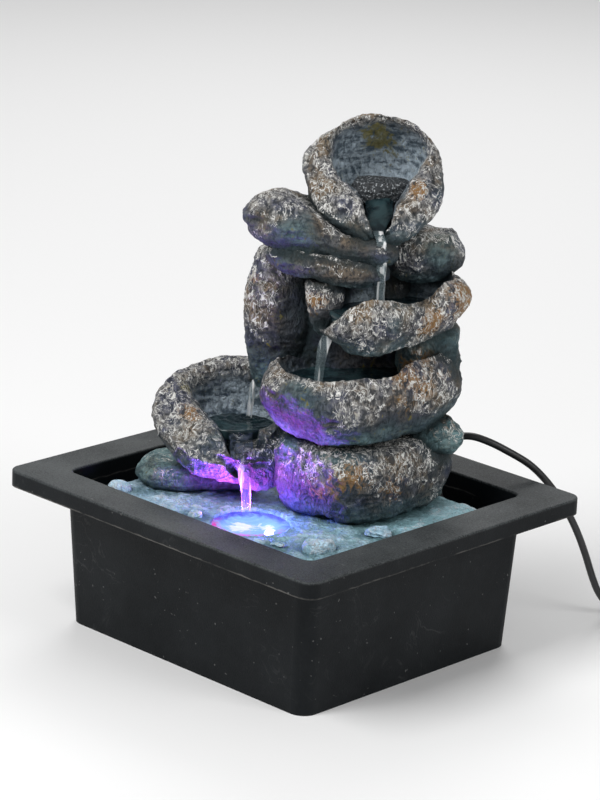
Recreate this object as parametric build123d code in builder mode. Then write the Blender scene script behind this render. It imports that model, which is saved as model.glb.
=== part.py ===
from build123d import *
import math
import os

os.makedirs("parts", exist_ok=True)

# Tabletop water fountain, millimetres, +Z up.
# The origin is the middle of the basin's footprint, on the table.
# X runs along the long side of the basin, and the front of the basin faces -Y.

# Basin
rim_length = 205.0
rim_width = 187.0
basin_height = 77.0
rim_plate = 2.5
rim_skirt = 8.2
skirt_wall = 2.2
rim_corner = 7.0
rim_edge_round = 0.9
tub_inset_top = 18.6
tub_inset_base = 22.4
tub_wall = 2.5
tub_corner = 8.0
floor_thickness = 2.5
foot_recess = 1.5
foot_ring = 7.0

# Deck, the cast plate that lies in the basin and carries the rocks
deck_drop = 5.0
deck_thickness = 6.0
deck_wall_gap = 2.2
deck_left_gap = 19.0
deck_rear_gap = 20.0
deck_corner = 9.0
deck_edge = 1.5
leg_radius = 6.0
leg_inset = 19.0
pool_at = (17.0, -46.0)
pool_radius = 18.5
pool_depth = 10.0
pool_wall = 3.0
pool_floor = 3.0
pebble_length = 15.0
pebble_depth = 11.0
pebble_height = 5.0
pebble_places = ((-55.5, -61.5, 20, 0.7), (64, -49, 70, 1.0), (48, -59, 10, 0.6), (67, -13, 40, 0.9),
                 (-6, -60, 30, 0.5))

# Rocks: length along the rock's own x, depth along its own y, height along its own z
rock_turn = 45.0
bowl_turn = -12.0
bed_gap = 0.3
outline_points = 16
section_shares = (0.0, 0.14, 0.38, 0.66, 0.88, 1.0)
slab_sink = 0.75
column_at = (6.0, 29.0)
column_length = 52.0
column_depth = 35.0
column_height = 138.0
base_stone_at = (31.0, 15.0)
base_stone_length = 64.0
base_stone_depth = 86.0
base_stone_height = 37.0
middle_bowl_at = (31.0, 11.0)
middle_bowl_length = 66.0
middle_bowl_depth = 94.0
middle_bowl_height = 37.0
middle_bowl_wall = 8.0
middle_bowl_floor = 13.0
middle_spout_heading = -118.0
bowl_step = 5.0
upper_bowl_lift = 9.0
upper_bowl_at = (41.0, 19.5)
upper_bowl_length = 48.0
upper_bowl_depth = 80.0
upper_bowl_height = 29.0
upper_bowl_wall = 7.0
upper_bowl_floor = 9.0
upper_spout_heading = -95.0
upper_bowl_tilt = 8.0
upper_lip_at = (31.8, -4.0, 171.0)
upper_lip_facing = (-0.60, -0.58, 0.55)
side_stone_at = (46.5, 38.5)
side_stone_length = 31.0
side_stone_depth = 30.0
side_stone_sink = 12.0
ledge_stone_at = (56.0, 36.0)
ledge_stone_length = 26.0
ledge_stone_depth = 22.0
ledge_stone_height = 18.0
ledge_stone_sink = 9.0
flat_stone_at = (-41.5, -25.0)
flat_stone_length = 60.0
flat_stone_depth = 42.0
flat_stone_height = 13.0
lower_bowl_at = (-34.0, -15.5)
lower_bowl_length = 71.0
lower_bowl_depth = 75.0
lower_bowl_height = 31.0
lower_bowl_wall = 14.0
lower_bowl_lip = 10.0
lower_scoop_shift = 4.0
lower_scoop_egg = 0.45
lower_bowl_floor = 7.5
lower_bowl_tilt = 30.0
lower_bowl_lift = 3.0
lower_spout_heading = -74.0
pillar_stone_at = (-17.0, 2.0)
pillar_stone_length = 35.0
pillar_stone_depth = 29.0
pillar_stone_height = 70.0
pillar_stone_lift = 12.0
wedge_stone_at = (18.0, -4.0)
wedge_stone_length = 19.0
wedge_stone_depth = 17.0
wedge_stone_height = 28.0
right_slab_at = (34.5, 43.5)
right_slab_length = 42.0
right_slab_depth = 34.0
right_slab_height = 25.0
lower_slab_at = (17.7, -0.7)
lower_slab_length = 62.0
lower_slab_depth = 32.0
lower_slab_height = 15.0
lower_slab_turn = 33.0
lower_slab_drop = 7.0
left_slab_at = (9.0, -2.5)
left_slab_length = 76.0
left_slab_depth = 34.0
left_slab_height = 22.0
left_slab_turn = 35.0
left_slab_drop = 12.0
top_bowl_at = (7.0, 35.5)
top_bowl_length = 69.0
top_bowl_depth = 66.0
top_bowl_height = 36.0
top_bowl_wall = 18.5
top_bowl_lip = 7.7
top_scoop_egg = 0.72
top_bowl_floor = 8.0
top_bowl_tilt = 48.0
top_scoop_rise = 2.5
top_spout_heading = -90.0
spout_width = 9.0
spout_depth = 9.0

# Water hose, from the pump to the top bowl, and the foam over its end
hose_at = (14.8, 31.8)
hose_outside = 11.0
hose_bore = 8.0
hose_clearance = 0.4
hose_stand = 7.0
sponge_length = 27.0
sponge_depth = 20.0
sponge_height = 18.0
sponge_sleeve = 6.0

# Lamp in the pool
lamp_radius = 9.5
lamp_wall = 1.6
lamp_height = 18.0
lamp_flange = 12.5
lamp_flange_thickness = 2.0
lamp_seal_thickness = 1.0
lamp_lens_thickness = 3.0
lamp_board_thickness = 1.2
lamp_chip_size = 3.0
lamp_fit = 0.2
lead_radius = 1.2
lead_boss_radius = 2.6
lead_boss_length = 3.0
lead_boss_rise = 5.0
lead_plug_length = 8.0
lead_plug_width = 6.0
lead_plug_height = 8.0
lead_socket_depth = 4.0
lead_socket_at = (-12.0, -22.0)

# Pump: its axis runs along Y, with the intake at the rear
pump_width = 40.0
pump_height = 36.0
motor_length = 26.0
pump_wall = 2.0
pump_round = 3.0
chamber_radius = 11.0
chamber_depth = 10.0
nozzle_bore = 5.4
nozzle_rise = 10.0
rotor_bore = 6.4
rotor_tube_wall = 1.6
rotor_length = 20.0
magnet_radius = 5.7
magnet_length = 16.0
shaft_radius = 1.0
shaft_clearance = 0.08
bush_radius = 2.4
bush_length = 2.0
impeller_radius = 9.6
impeller_plate = 1.2
impeller_blades = 6
blade_height = 5.0
blade_thickness = 1.2
hub_radius = 3.0
core_length = 12.0
core_pole_width = 8.0
core_yoke = 3.0
coil_build = 3.0
coil_length = 5.0
board_thickness = 1.6
potting_depth = 1.8
cover_thickness = 2.5
cover_width = 36.0
cover_height = 30.0
intake_radius = 6.5
spider_arm = 2.0
slider_length = 11.0
slider_height = 15.0
slider_thickness = 1.6
slider_play = 0.2
slider_travel = 9.0
rail_width = 1.6
cup_height = 6.0
cup_radius = 5.5
cup_stem = 3.0
gland_length = 14.0
gland_root = 4.5
gland_tip = 2.8
gland_flange = 6.0

# Power cord, its put-away coil and its plug
cord_radius = 1.8
bend_share = 0.45
sample_step = 1.5
coil_pitch = 4.15
coil_turns = 4
coil_outer = 29.0
coil_at = (126.0, 181.0)
coil_reversal = 0.75
coil_tail = 24.0
tie_thickness = 1.0
tie_width = 6.0
tie_slack = 0.6
plug_relief_length = 9.0
plug_relief_radius = 3.2
plug_length = 21.0
plug_width = 15.5
plug_height = 8.4
plug_round = 2.0
shell_length = 12.0
shell_width = 12.0
shell_height = 4.5
shell_wall = 0.5
tongue_length = 9.0
tongue_height = 1.8

# Squareness of the rocks' outlines: 2 is an ellipse
round_corner = 2.3
square_corner = 3.2

# Heights and places that follow from the sizes above
floor_top = foot_recess + floor_thickness
deck_top = basin_height - deck_drop
deck_under = deck_top - deck_thickness
base_stone_top = deck_top + base_stone_height
middle_bowl_top = base_stone_top + middle_bowl_height
upper_bowl_seat = middle_bowl_top + upper_bowl_lift
upper_bowl_top = upper_bowl_seat + upper_bowl_height
flat_stone_top = deck_top + flat_stone_height
column_top = deck_top + column_height
tub_half_x = rim_length / 2 - tub_inset_top - tub_wall
tub_half_y = rim_width / 2 - tub_inset_top - tub_wall
deck_right = tub_half_x - deck_wall_gap
deck_front = -tub_half_y + deck_wall_gap
deck_left = -tub_half_x + deck_left_gap
deck_rear = tub_half_y - deck_rear_gap
hose_hole = hose_outside / 2 + hose_clearance
hose_foot = floor_top + cup_height + pump_height + hose_clearance


def outline(half_x, half_y, corner, egg, lumps):
    """Closed outline: a superellipse, narrowed towards -y by egg, with cosine lumps."""
    points = []
    for step in range(outline_points):
        angle = 2 * math.pi * step / outline_points
        across = abs(math.cos(angle) / half_x) ** corner
        along = abs(math.sin(angle) / half_y) ** corner
        reach = (across + along) ** (-1 / corner)
        reach *= 1 + sum(size * math.cos(count * angle + phase) for count, size, phase in lumps)
        narrowing = 1 + egg * reach * math.sin(angle) / half_y
        points.append((reach * math.cos(angle) * narrowing, reach * math.sin(angle)))
    return points


def rock(plane, length, depth, height, foot=0.8, crown=0.7, belly=0.5, corner=round_corner, egg=0.0,
         lumps=((3, 0.03, 0.6), (5, 0.02, 2.0)), grow=0.0):
    """A rock that stands on a plane: foot and crown are its end widths as shares of its belly's."""
    with BuildPart() as form:
        for share in section_shares:
            if share < belly:
                width = foot + (1 - foot) * math.sin(math.pi / 2 * share / belly)
            else:
                width = crown + (1 - crown) * math.cos(math.pi / 2 * (share - belly) / (1 - belly))
            level = share * (height + 2 * grow) - grow
            with BuildSketch(plane.offset(level)):
                with BuildLine():
                    points = outline(width * length / 2 + grow, width * depth / 2 + grow, corner, egg, lumps)
                    Spline(*points, periodic=True)
                make_face()
        loft()
    return form.part


def scoop(plane, length, depth, height, floor, egg=0.0, corner=round_corner):
    """The hollow of a bowl: it opens upwards past the rim."""
    return rock(plane.offset(floor), length, depth, height - floor + spout_depth, foot=0.5, crown=1.0,
                belly=0.7, corner=corner, egg=egg, lumps=((3, 0.02, 0.6),))


def level_plane(at, height, turn=0.0):
    """A level plane over a point of the ground plan, with its x axis turned about Z."""
    return Plane(origin=(at[0], at[1], height)).rotated((0, 0, turn))


def tilted_plane(at, height, tilt):
    """A plane whose normal leans towards the front right corner of the basin."""
    turn = math.radians(rock_turn)
    lean = math.radians(tilt)
    along = (math.cos(turn), math.sin(turn), 0)
    normal = (math.sin(lean) * math.sin(turn), -math.sin(lean) * math.cos(turn), math.cos(lean))
    return Plane(origin=(at[0], at[1], height), x_dir=along, z_dir=normal)


def dropping_plane(at, height, turn, drop):
    """A plane turned about Z whose x axis then drops by an angle."""
    across = math.radians(turn)
    down = math.radians(drop)
    along = (math.cos(down) * math.cos(across), math.cos(down) * math.sin(across), -math.sin(down))
    normal = (math.sin(down) * math.cos(across), math.sin(down) * math.sin(across), math.cos(down))
    return Plane(origin=(at[0], at[1], height), x_dir=along, z_dir=normal)


def spout(plane, heading, rim, reach):
    """A round bottomed groove, open upwards, from a bowl's middle out through its wall."""
    angle = math.radians(heading)
    along = plane.x_dir * math.cos(angle) + plane.y_dir * math.sin(angle)
    middle = plane.origin + plane.z_dir * (rim - spout_depth + spout_width / 2)
    mouth = Plane(origin=middle, x_dir=plane.z_dir.cross(along), z_dir=along)
    with BuildPart() as groove:
        with BuildSketch(mouth):
            Circle(spout_width / 2)
            with Locations((0, spout_depth)):
                Rectangle(spout_width, 2 * spout_depth)
        extrude(amount=reach)
    return groove.part


def column_form(grow=0.0):
    """The trunk at the back, from the deck up to the slabs."""
    return rock(level_plane(column_at, deck_top, rock_turn), column_length, column_depth, column_height,
                foot=0.95, crown=0.85, corner=square_corner, grow=grow)


def base_form(grow=0.0):
    """The large squarish rock that stands on the deck."""
    return rock(level_plane(base_stone_at, deck_top), base_stone_length, base_stone_depth, base_stone_height,
                foot=0.95, crown=0.84, belly=0.5, corner=square_corner, grow=grow)


middle_plane = level_plane(middle_bowl_at, base_stone_top, bowl_turn)


def middle_form(grow=0.0):
    """Outside of the middle bowl."""
    return rock(middle_plane, middle_bowl_length, middle_bowl_depth, middle_bowl_height,
                foot=0.74, crown=0.86, belly=0.56, corner=square_corner, grow=grow)


upper_plane = level_plane(upper_bowl_at, upper_bowl_seat, bowl_turn).rotated((upper_bowl_tilt, 0, 0))


def upper_form(grow=0.0):
    """Outside of the upper bowl, with its left end sloped down to the spill."""
    whole = rock(upper_plane, upper_bowl_length, upper_bowl_depth, upper_bowl_height, foot=0.68, crown=0.84,
                 belly=0.62, corner=square_corner, grow=grow)
    with BuildPart() as form:
        add(whole)
        split(bisect_by=Plane(origin=upper_lip_at, z_dir=upper_lip_facing).offset(grow), keep=Keep.BOTTOM)
    return form.part


def flat_form(grow=0.0):
    """The flat rock under the lower bowl."""
    return rock(level_plane(flat_stone_at, deck_top, rock_turn), flat_stone_length, flat_stone_depth,
                flat_stone_height, foot=0.9, crown=0.75, belly=0.4, grow=grow)


lower_plane = tilted_plane(lower_bowl_at, flat_stone_top + lower_bowl_lift, lower_bowl_tilt)


def lower_form(grow=0.0):
    """Outside of the lower bowl, tilted towards the pool."""
    return rock(lower_plane, lower_bowl_length, lower_bowl_depth, lower_bowl_height, foot=0.5, crown=0.88,
                belly=0.6, egg=0.12, grow=grow)


top_plane = tilted_plane(top_bowl_at, column_top, top_bowl_tilt)


def top_form(grow=0.0):
    """Outside of the top bowl, a cowl that faces forwards."""
    return rock(top_plane, top_bowl_length, top_bowl_depth, top_bowl_height, foot=0.5, crown=0.86,
                belly=0.68, egg=0.12, grow=grow)


def right_slab_form(grow=0.0):
    """The slab behind the upper bowl."""
    return rock(level_plane(right_slab_at, upper_bowl_top - bowl_step, rock_turn), right_slab_length,
                right_slab_depth, right_slab_height, foot=0.62, crown=0.72, grow=grow)


def left_slab_form(grow=0.0):
    """The upper slab that reaches out to the left."""
    seat = column_top - slab_sink * left_slab_height
    return rock(dropping_plane(left_slab_at, seat, left_slab_turn, left_slab_drop), left_slab_length,
                left_slab_depth, left_slab_height, foot=0.62, crown=0.6, grow=grow)


def lower_slab_form(grow=0.0):
    """The thin slab under the upper one."""
    seat = column_top - slab_sink * (left_slab_height + lower_slab_height)
    return rock(dropping_plane(lower_slab_at, seat, lower_slab_turn, lower_slab_drop), lower_slab_length,
                lower_slab_depth, lower_slab_height, foot=0.7, crown=0.85, grow=grow)


# Copies of the rocks grown by the bedding gap, which cut the rocks that lie against them
column_bed = column_form(bed_gap)
base_bed = base_form(bed_gap)
middle_bed = middle_form(bed_gap)
upper_bed = upper_form(bed_gap)
flat_bed = flat_form(bed_gap)
lower_bed = lower_form(bed_gap)
top_bed = top_form(bed_gap)
right_slab_bed = right_slab_form(bed_gap)
left_slab_bed = left_slab_form(bed_gap)
lower_slab_bed = lower_slab_form(bed_gap)

with BuildPart() as basin:
    with BuildSketch():
        RectangleRounded(rim_length - 2 * tub_inset_base, rim_width - 2 * tub_inset_base, tub_corner)
    with BuildSketch(Plane.XY.offset(basin_height)):
        RectangleRounded(rim_length - 2 * tub_inset_top, rim_width - 2 * tub_inset_top, tub_corner)
    loft()
    with BuildSketch(Plane.XY.offset(basin_height - rim_plate)):
        RectangleRounded(rim_length, rim_width, rim_corner)
    extrude(amount=rim_plate)
    with BuildSketch(Plane.XY.offset(basin_height - rim_skirt)):
        RectangleRounded(rim_length, rim_width, rim_corner)
        RectangleRounded(rim_length - 2 * skirt_wall, rim_width - 2 * skirt_wall,
                         rim_corner - skirt_wall, mode=Mode.SUBTRACT)
    extrude(amount=rim_skirt)
    base_inner = tub_inset_base + tub_wall
    with BuildSketch(Plane.XY.offset(floor_top)):
        RectangleRounded(rim_length - 2 * base_inner, rim_width - 2 * base_inner, tub_corner - tub_wall)
    with BuildSketch(Plane.XY.offset(basin_height)):
        RectangleRounded(2 * tub_half_x, 2 * tub_half_y, tub_corner - tub_wall)
    loft(mode=Mode.SUBTRACT)
    with BuildSketch():
        ring_inset = 2 * (tub_inset_base + foot_ring)
        RectangleRounded(rim_length - ring_inset, rim_width - ring_inset, tub_corner - tub_wall)
    extrude(amount=foot_recess, mode=Mode.SUBTRACT)
    fillet(basin.edges().group_by(Axis.Z)[-1], rim_edge_round)
basin.part.label = "basin"
export_step(basin.part, "parts/basin.step")

lamp_seat = deck_top - pool_depth
with BuildPart() as deck:
    with BuildSketch(Plane.XY.offset(deck_under)):
        with BuildLine():
            Polyline((deck_left, deck_front), (deck_right, deck_front), (deck_right, deck_rear),
                     (deck_left + deck_left_gap, deck_rear), (deck_left, 0), close=True)
        make_face()
        fillet(vertices(), deck_corner)
    extrude(amount=deck_thickness)
    chamfer(deck.faces().sort_by(Axis.Z)[-1].edges(), deck_edge)
    with Locations((deck_left + leg_inset, deck_front + leg_inset, floor_top),
                   (deck_right - leg_inset, deck_front + leg_inset, floor_top),
                   (deck_right - leg_inset, deck_rear - leg_inset, floor_top),
                   (deck_left + leg_inset, 0, floor_top)):
        Cylinder(leg_radius, deck_under - floor_top, align=(Align.CENTER, Align.CENTER, Align.MIN))
    with Locations((pool_at[0], pool_at[1], deck_top)):
        Cylinder(pool_radius + pool_wall, pool_depth + pool_floor,
                 align=(Align.CENTER, Align.CENTER, Align.MAX))
        Cylinder(pool_radius, pool_depth, align=(Align.CENTER, Align.CENTER, Align.MAX), mode=Mode.SUBTRACT)
        Cylinder(lamp_radius + lamp_fit, pool_depth + pool_floor,
                 align=(Align.CENTER, Align.CENTER, Align.MAX), mode=Mode.SUBTRACT)
    with Locations((hose_at[0], hose_at[1], deck_top)):
        Cylinder(hose_hole, deck_thickness, align=(Align.CENTER, Align.CENTER, Align.MAX), mode=Mode.SUBTRACT)
deck.part.label = "deck"
export_step(deck.part, "parts/deck.step")

with BuildPart() as pebbles:
    for x, y, turn, share in pebble_places:
        add(rock(level_plane((x, y), deck_top, turn), pebble_length * share, pebble_depth * share,
                 pebble_height * share, foot=0.9, crown=0.5, belly=0.3))
pebbles.part.label = "pebbles"
export_step(pebbles.part, "parts/pebbles.step")

with BuildPart() as column:
    add(column_form())
    add(top_bed, mode=Mode.SUBTRACT)
    with Locations((hose_at[0], hose_at[1], deck_top)):
        Cylinder(hose_hole, 2 * column_height + top_bowl_height, mode=Mode.SUBTRACT)
column.part.label = "column"
export_step(column.part, "parts/column.step")

with BuildPart() as base_stone:
    add(base_form())
    add(column_bed, mode=Mode.SUBTRACT)
base_stone.part.label = "base_stone"
export_step(base_stone.part, "parts/base_stone.step")

middle_scoop = scoop(middle_plane, middle_bowl_length - 2 * middle_bowl_wall,
                     middle_bowl_depth - 2 * middle_bowl_wall, middle_bowl_height, middle_bowl_floor,
                     corner=square_corner)
middle_spout = spout(middle_plane, middle_spout_heading, middle_bowl_height, middle_bowl_depth)
with BuildPart() as middle_bowl:
    add(middle_form())
    add(middle_scoop, mode=Mode.SUBTRACT)
    add(middle_spout, mode=Mode.SUBTRACT)
    add(column_bed, mode=Mode.SUBTRACT)
middle_bowl.part.label = "middle_bowl"
export_step(middle_bowl.part, "parts/middle_bowl.step")

side_height = side_stone_sink + upper_bowl_lift + bowl_step
side_form = rock(level_plane(side_stone_at, middle_bowl_top - side_stone_sink, rock_turn), side_stone_length,
                 side_stone_depth, side_height, foot=0.9, crown=0.92)
with BuildPart() as side_stone:
    add(side_form)
    add(middle_bed, mode=Mode.SUBTRACT)
    add(upper_bed, mode=Mode.SUBTRACT)
    add(column_bed, mode=Mode.SUBTRACT)
side_stone.part.label = "side_stone"
export_step(side_stone.part, "parts/side_stone.step")

upper_scoop = scoop(upper_plane, upper_bowl_length - 2 * upper_bowl_wall,
                    upper_bowl_depth - 2 * upper_bowl_wall, upper_bowl_height, upper_bowl_floor,
                    corner=square_corner)
upper_spout = spout(upper_plane, upper_spout_heading, upper_bowl_height, upper_bowl_depth)
with BuildPart() as upper_bowl:
    add(upper_form())
    add(upper_scoop, mode=Mode.SUBTRACT)
    add(upper_spout, mode=Mode.SUBTRACT)
    add(column_bed, mode=Mode.SUBTRACT)
upper_bowl.part.label = "upper_bowl"
export_step(upper_bowl.part, "parts/upper_bowl.step")

ledge_form = rock(level_plane(ledge_stone_at, base_stone_top - ledge_stone_sink, rock_turn),
                  ledge_stone_length, ledge_stone_depth, ledge_stone_height, foot=0.6, crown=0.5)
with BuildPart() as ledge_stone:
    add(ledge_form)
    add(base_bed, mode=Mode.SUBTRACT)
    add(middle_bed, mode=Mode.SUBTRACT)
ledge_stone.part.label = "ledge_stone"
export_step(ledge_stone.part, "parts/ledge_stone.step")

with BuildPart() as flat_stone:
    add(flat_form())
flat_stone.part.label = "flat_stone"
export_step(flat_stone.part, "parts/flat_stone.step")

lower_scoop_plane = lower_plane.offset(0)
lower_scoop_plane.origin = lower_plane.origin + lower_plane.x_dir * lower_scoop_shift
lower_scoop = scoop(lower_scoop_plane, lower_bowl_length - 2 * lower_bowl_wall,
                    lower_bowl_depth - 2 * lower_bowl_lip, lower_bowl_height, lower_bowl_floor,
                    egg=lower_scoop_egg)
lower_spout = spout(lower_plane, lower_spout_heading, lower_bowl_height, lower_bowl_depth)
with BuildPart() as lower_bowl:
    add(lower_form())
    add(lower_scoop, mode=Mode.SUBTRACT)
    add(lower_spout, mode=Mode.SUBTRACT)
    add(flat_bed, mode=Mode.SUBTRACT)
    add(base_bed, mode=Mode.SUBTRACT)
    add(middle_bed, mode=Mode.SUBTRACT)
    add(column_bed, mode=Mode.SUBTRACT)
lower_bowl.part.label = "lower_bowl"
export_step(lower_bowl.part, "parts/lower_bowl.step")

pillar_form = rock(level_plane(pillar_stone_at, base_stone_top + pillar_stone_lift, rock_turn),
                   pillar_stone_length, pillar_stone_depth, pillar_stone_height, foot=0.55, crown=0.62)
with BuildPart() as pillar_stone:
    add(pillar_form)
    add(lower_bed, mode=Mode.SUBTRACT)
    add(middle_bed, mode=Mode.SUBTRACT)
    add(column_bed, mode=Mode.SUBTRACT)
    add(lower_slab_bed, mode=Mode.SUBTRACT)
    add(left_slab_bed, mode=Mode.SUBTRACT)
pillar_stone.part.label = "pillar_stone"
export_step(pillar_stone.part, "parts/pillar_stone.step")

wedge_form = rock(level_plane(wedge_stone_at, upper_bowl_seat, rock_turn), wedge_stone_length,
                  wedge_stone_depth, wedge_stone_height, foot=0.25, crown=0.95, belly=0.8)
with BuildPart() as wedge_stone:
    add(wedge_form)
    add(upper_bed, mode=Mode.SUBTRACT)
    add(column_bed, mode=Mode.SUBTRACT)
    add(lower_slab_bed, mode=Mode.SUBTRACT)
wedge_stone.part.label = "wedge_stone"
export_step(wedge_stone.part, "parts/wedge_stone.step")

with BuildPart() as right_slab:
    add(right_slab_form())
    add(column_bed, mode=Mode.SUBTRACT)
    add(top_bed, mode=Mode.SUBTRACT)
    add(upper_bed, mode=Mode.SUBTRACT)
right_slab.part.label = "right_slab"
export_step(right_slab.part, "parts/right_slab.step")

with BuildPart() as left_slab:
    add(left_slab_form())
    add(column_bed, mode=Mode.SUBTRACT)
    add(top_bed, mode=Mode.SUBTRACT)
    add(right_slab_bed, mode=Mode.SUBTRACT)
left_slab.part.label = "left_slab"
export_step(left_slab.part, "parts/left_slab.step")

with BuildPart() as lower_slab:
    add(lower_slab_form())
    add(column_bed, mode=Mode.SUBTRACT)
    add(top_bed, mode=Mode.SUBTRACT)
    add(right_slab_bed, mode=Mode.SUBTRACT)
    add(left_slab_bed, mode=Mode.SUBTRACT)
    add(upper_bed, mode=Mode.SUBTRACT)
lower_slab.part.label = "lower_slab"
export_step(lower_slab.part, "parts/lower_slab.step")

scoop_plane = top_plane.offset(0)
scoop_plane.origin = top_plane.origin + top_plane.y_dir * top_scoop_rise
top_scoop = scoop(scoop_plane, top_bowl_length - 2 * top_bowl_wall, top_bowl_depth - 2 * top_bowl_lip,
                  top_bowl_height, top_bowl_floor, egg=top_scoop_egg)
top_spout = spout(top_plane, top_spout_heading, top_bowl_height, top_bowl_depth)
with BuildPart() as top_bowl:
    add(top_form())
    add(top_scoop, mode=Mode.SUBTRACT)
    add(top_spout, mode=Mode.SUBTRACT)
    with Locations((hose_at[0], hose_at[1], column_top)):
        Cylinder(hose_hole, column_height, mode=Mode.SUBTRACT)
top_bowl.part.label = "top_bowl"
export_step(top_bowl.part, "parts/top_bowl.step")

hose_end = column_top + hose_stand
with BuildPart() as water_hose:
    with BuildSketch(Plane(origin=(hose_at[0], hose_at[1], hose_foot))):
        Circle(hose_outside / 2)
        Circle(hose_bore / 2, mode=Mode.SUBTRACT)
    extrude(amount=hose_end - hose_foot)
water_hose.part.label = "water_hose"
export_step(water_hose.part, "parts/water_hose.step")

sponge_plane = level_plane(hose_at, hose_end - sponge_sleeve, rock_turn)
with BuildPart() as diffuser_sponge:
    add(rock(sponge_plane, sponge_length, sponge_depth, sponge_height, foot=0.9, crown=0.75, lumps=()))
    add(top_scoop, mode=Mode.INTERSECT)
    with Locations((hose_at[0], hose_at[1], hose_end)):
        Cylinder(hose_outside / 2 + bed_gap, 2 * sponge_sleeve, mode=Mode.SUBTRACT)
diffuser_sponge.part.label = "diffuser_sponge"
export_step(diffuser_sponge.part, "parts/diffuser_sponge.step")

# Lamp: a sealed can through the floor of the pool, held by its flange
lamp_flange_under = lamp_seat + lamp_seal_thickness
lamp_flange_top = lamp_flange_under + lamp_flange_thickness
lamp_bottom = lamp_flange_top - lamp_height
lamp_board_level = lamp_flange_top - lamp_flange_thickness - lamp_board_thickness
lamp_inside = lamp_radius - lamp_wall
lamp_axis = Plane(origin=(pool_at[0], pool_at[1], 0), x_dir=(1, 0, 0), z_dir=(0, -1, 0))

with BuildPart() as led_seal:
    with BuildSketch(Plane(origin=(pool_at[0], pool_at[1], lamp_seat))):
        Circle(lamp_flange)
        Circle(lamp_radius + lamp_fit, mode=Mode.SUBTRACT)
    extrude(amount=lamp_seal_thickness)
led_seal.part.label = "led_seal"
export_step(led_seal.part, "parts/led_seal.step")

lead_boss_level = lamp_bottom + lead_boss_rise
with BuildPart() as led_housing:
    with BuildSketch(lamp_axis):
        with BuildLine():
            Polyline((0, lamp_bottom), (lamp_radius, lamp_bottom), (lamp_radius, lamp_flange_under),
                     (lamp_flange, lamp_flange_under), (lamp_flange, lamp_flange_top),
                     (lamp_inside, lamp_flange_top), (lamp_inside, lamp_board_level), (0, lamp_board_level),
                     close=True)
        make_face()
    revolve(axis=Axis((pool_at[0], pool_at[1], 0), (0, 0, 1)))
    boss_face = Plane(origin=(pool_at[0], pool_at[1], lead_boss_level), x_dir=(1, 0, 0), z_dir=(0, 1, 0))
    with BuildSketch(boss_face):
        Circle(lead_boss_radius)
    extrude(amount=lamp_radius + lead_boss_length)
led_housing.part.label = "led_housing"
export_step(led_housing.part, "parts/led_housing.step")

with BuildPart() as led_board:
    with Locations((pool_at[0], pool_at[1], lamp_board_level)):
        Cylinder(lamp_inside - lamp_fit, lamp_board_thickness, align=(Align.CENTER, Align.CENTER, Align.MIN))
led_board.part.label = "led_board"
export_step(led_board.part, "parts/led_board.step")

chip_level = lamp_board_level + lamp_board_thickness
with BuildPart() as led_chips:
    with BuildSketch(Plane(origin=(pool_at[0], pool_at[1], chip_level))):
        with PolarLocations(lamp_inside / 2, 4):
            Rectangle(lamp_chip_size, lamp_chip_size)
    extrude(amount=lamp_flange_thickness - 2 * lamp_fit)
led_chips.part.label = "led_chips"
export_step(led_chips.part, "parts/led_chips.step")

with BuildPart() as led_lens:
    with Locations((pool_at[0], pool_at[1], lamp_flange_top)):
        Cylinder(lamp_radius, lamp_lens_thickness, align=(Align.CENTER, Align.CENTER, Align.MIN))
    fillet(led_lens.edges().group_by(Axis.Z)[-1], lamp_lens_thickness - lamp_wall)
led_lens.part.label = "led_lens"
export_step(led_lens.part, "parts/led_lens.step")

# Pump
pump_bottom = floor_top + cup_height
pump_top = pump_bottom + pump_height
pump_axis = pump_bottom + pump_height / 2
chamber_back = hose_at[1] - chamber_depth / 2
chamber_front = hose_at[1] + chamber_depth / 2
motor_back = chamber_back - motor_length
rotor_back = chamber_back - rotor_length
nozzle_radius = hose_bore / 2 - hose_clearance / 2
socket_at = (hose_at[0] + lead_socket_at[0], hose_at[1] + lead_socket_at[1])


def pump_face(y):
    """An upright plane across the pump's axis, facing the rear, with its y axis up."""
    return Plane(origin=(hose_at[0], y, pump_axis), x_dir=(-1, 0, 0), z_dir=(0, 1, 0))


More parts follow.
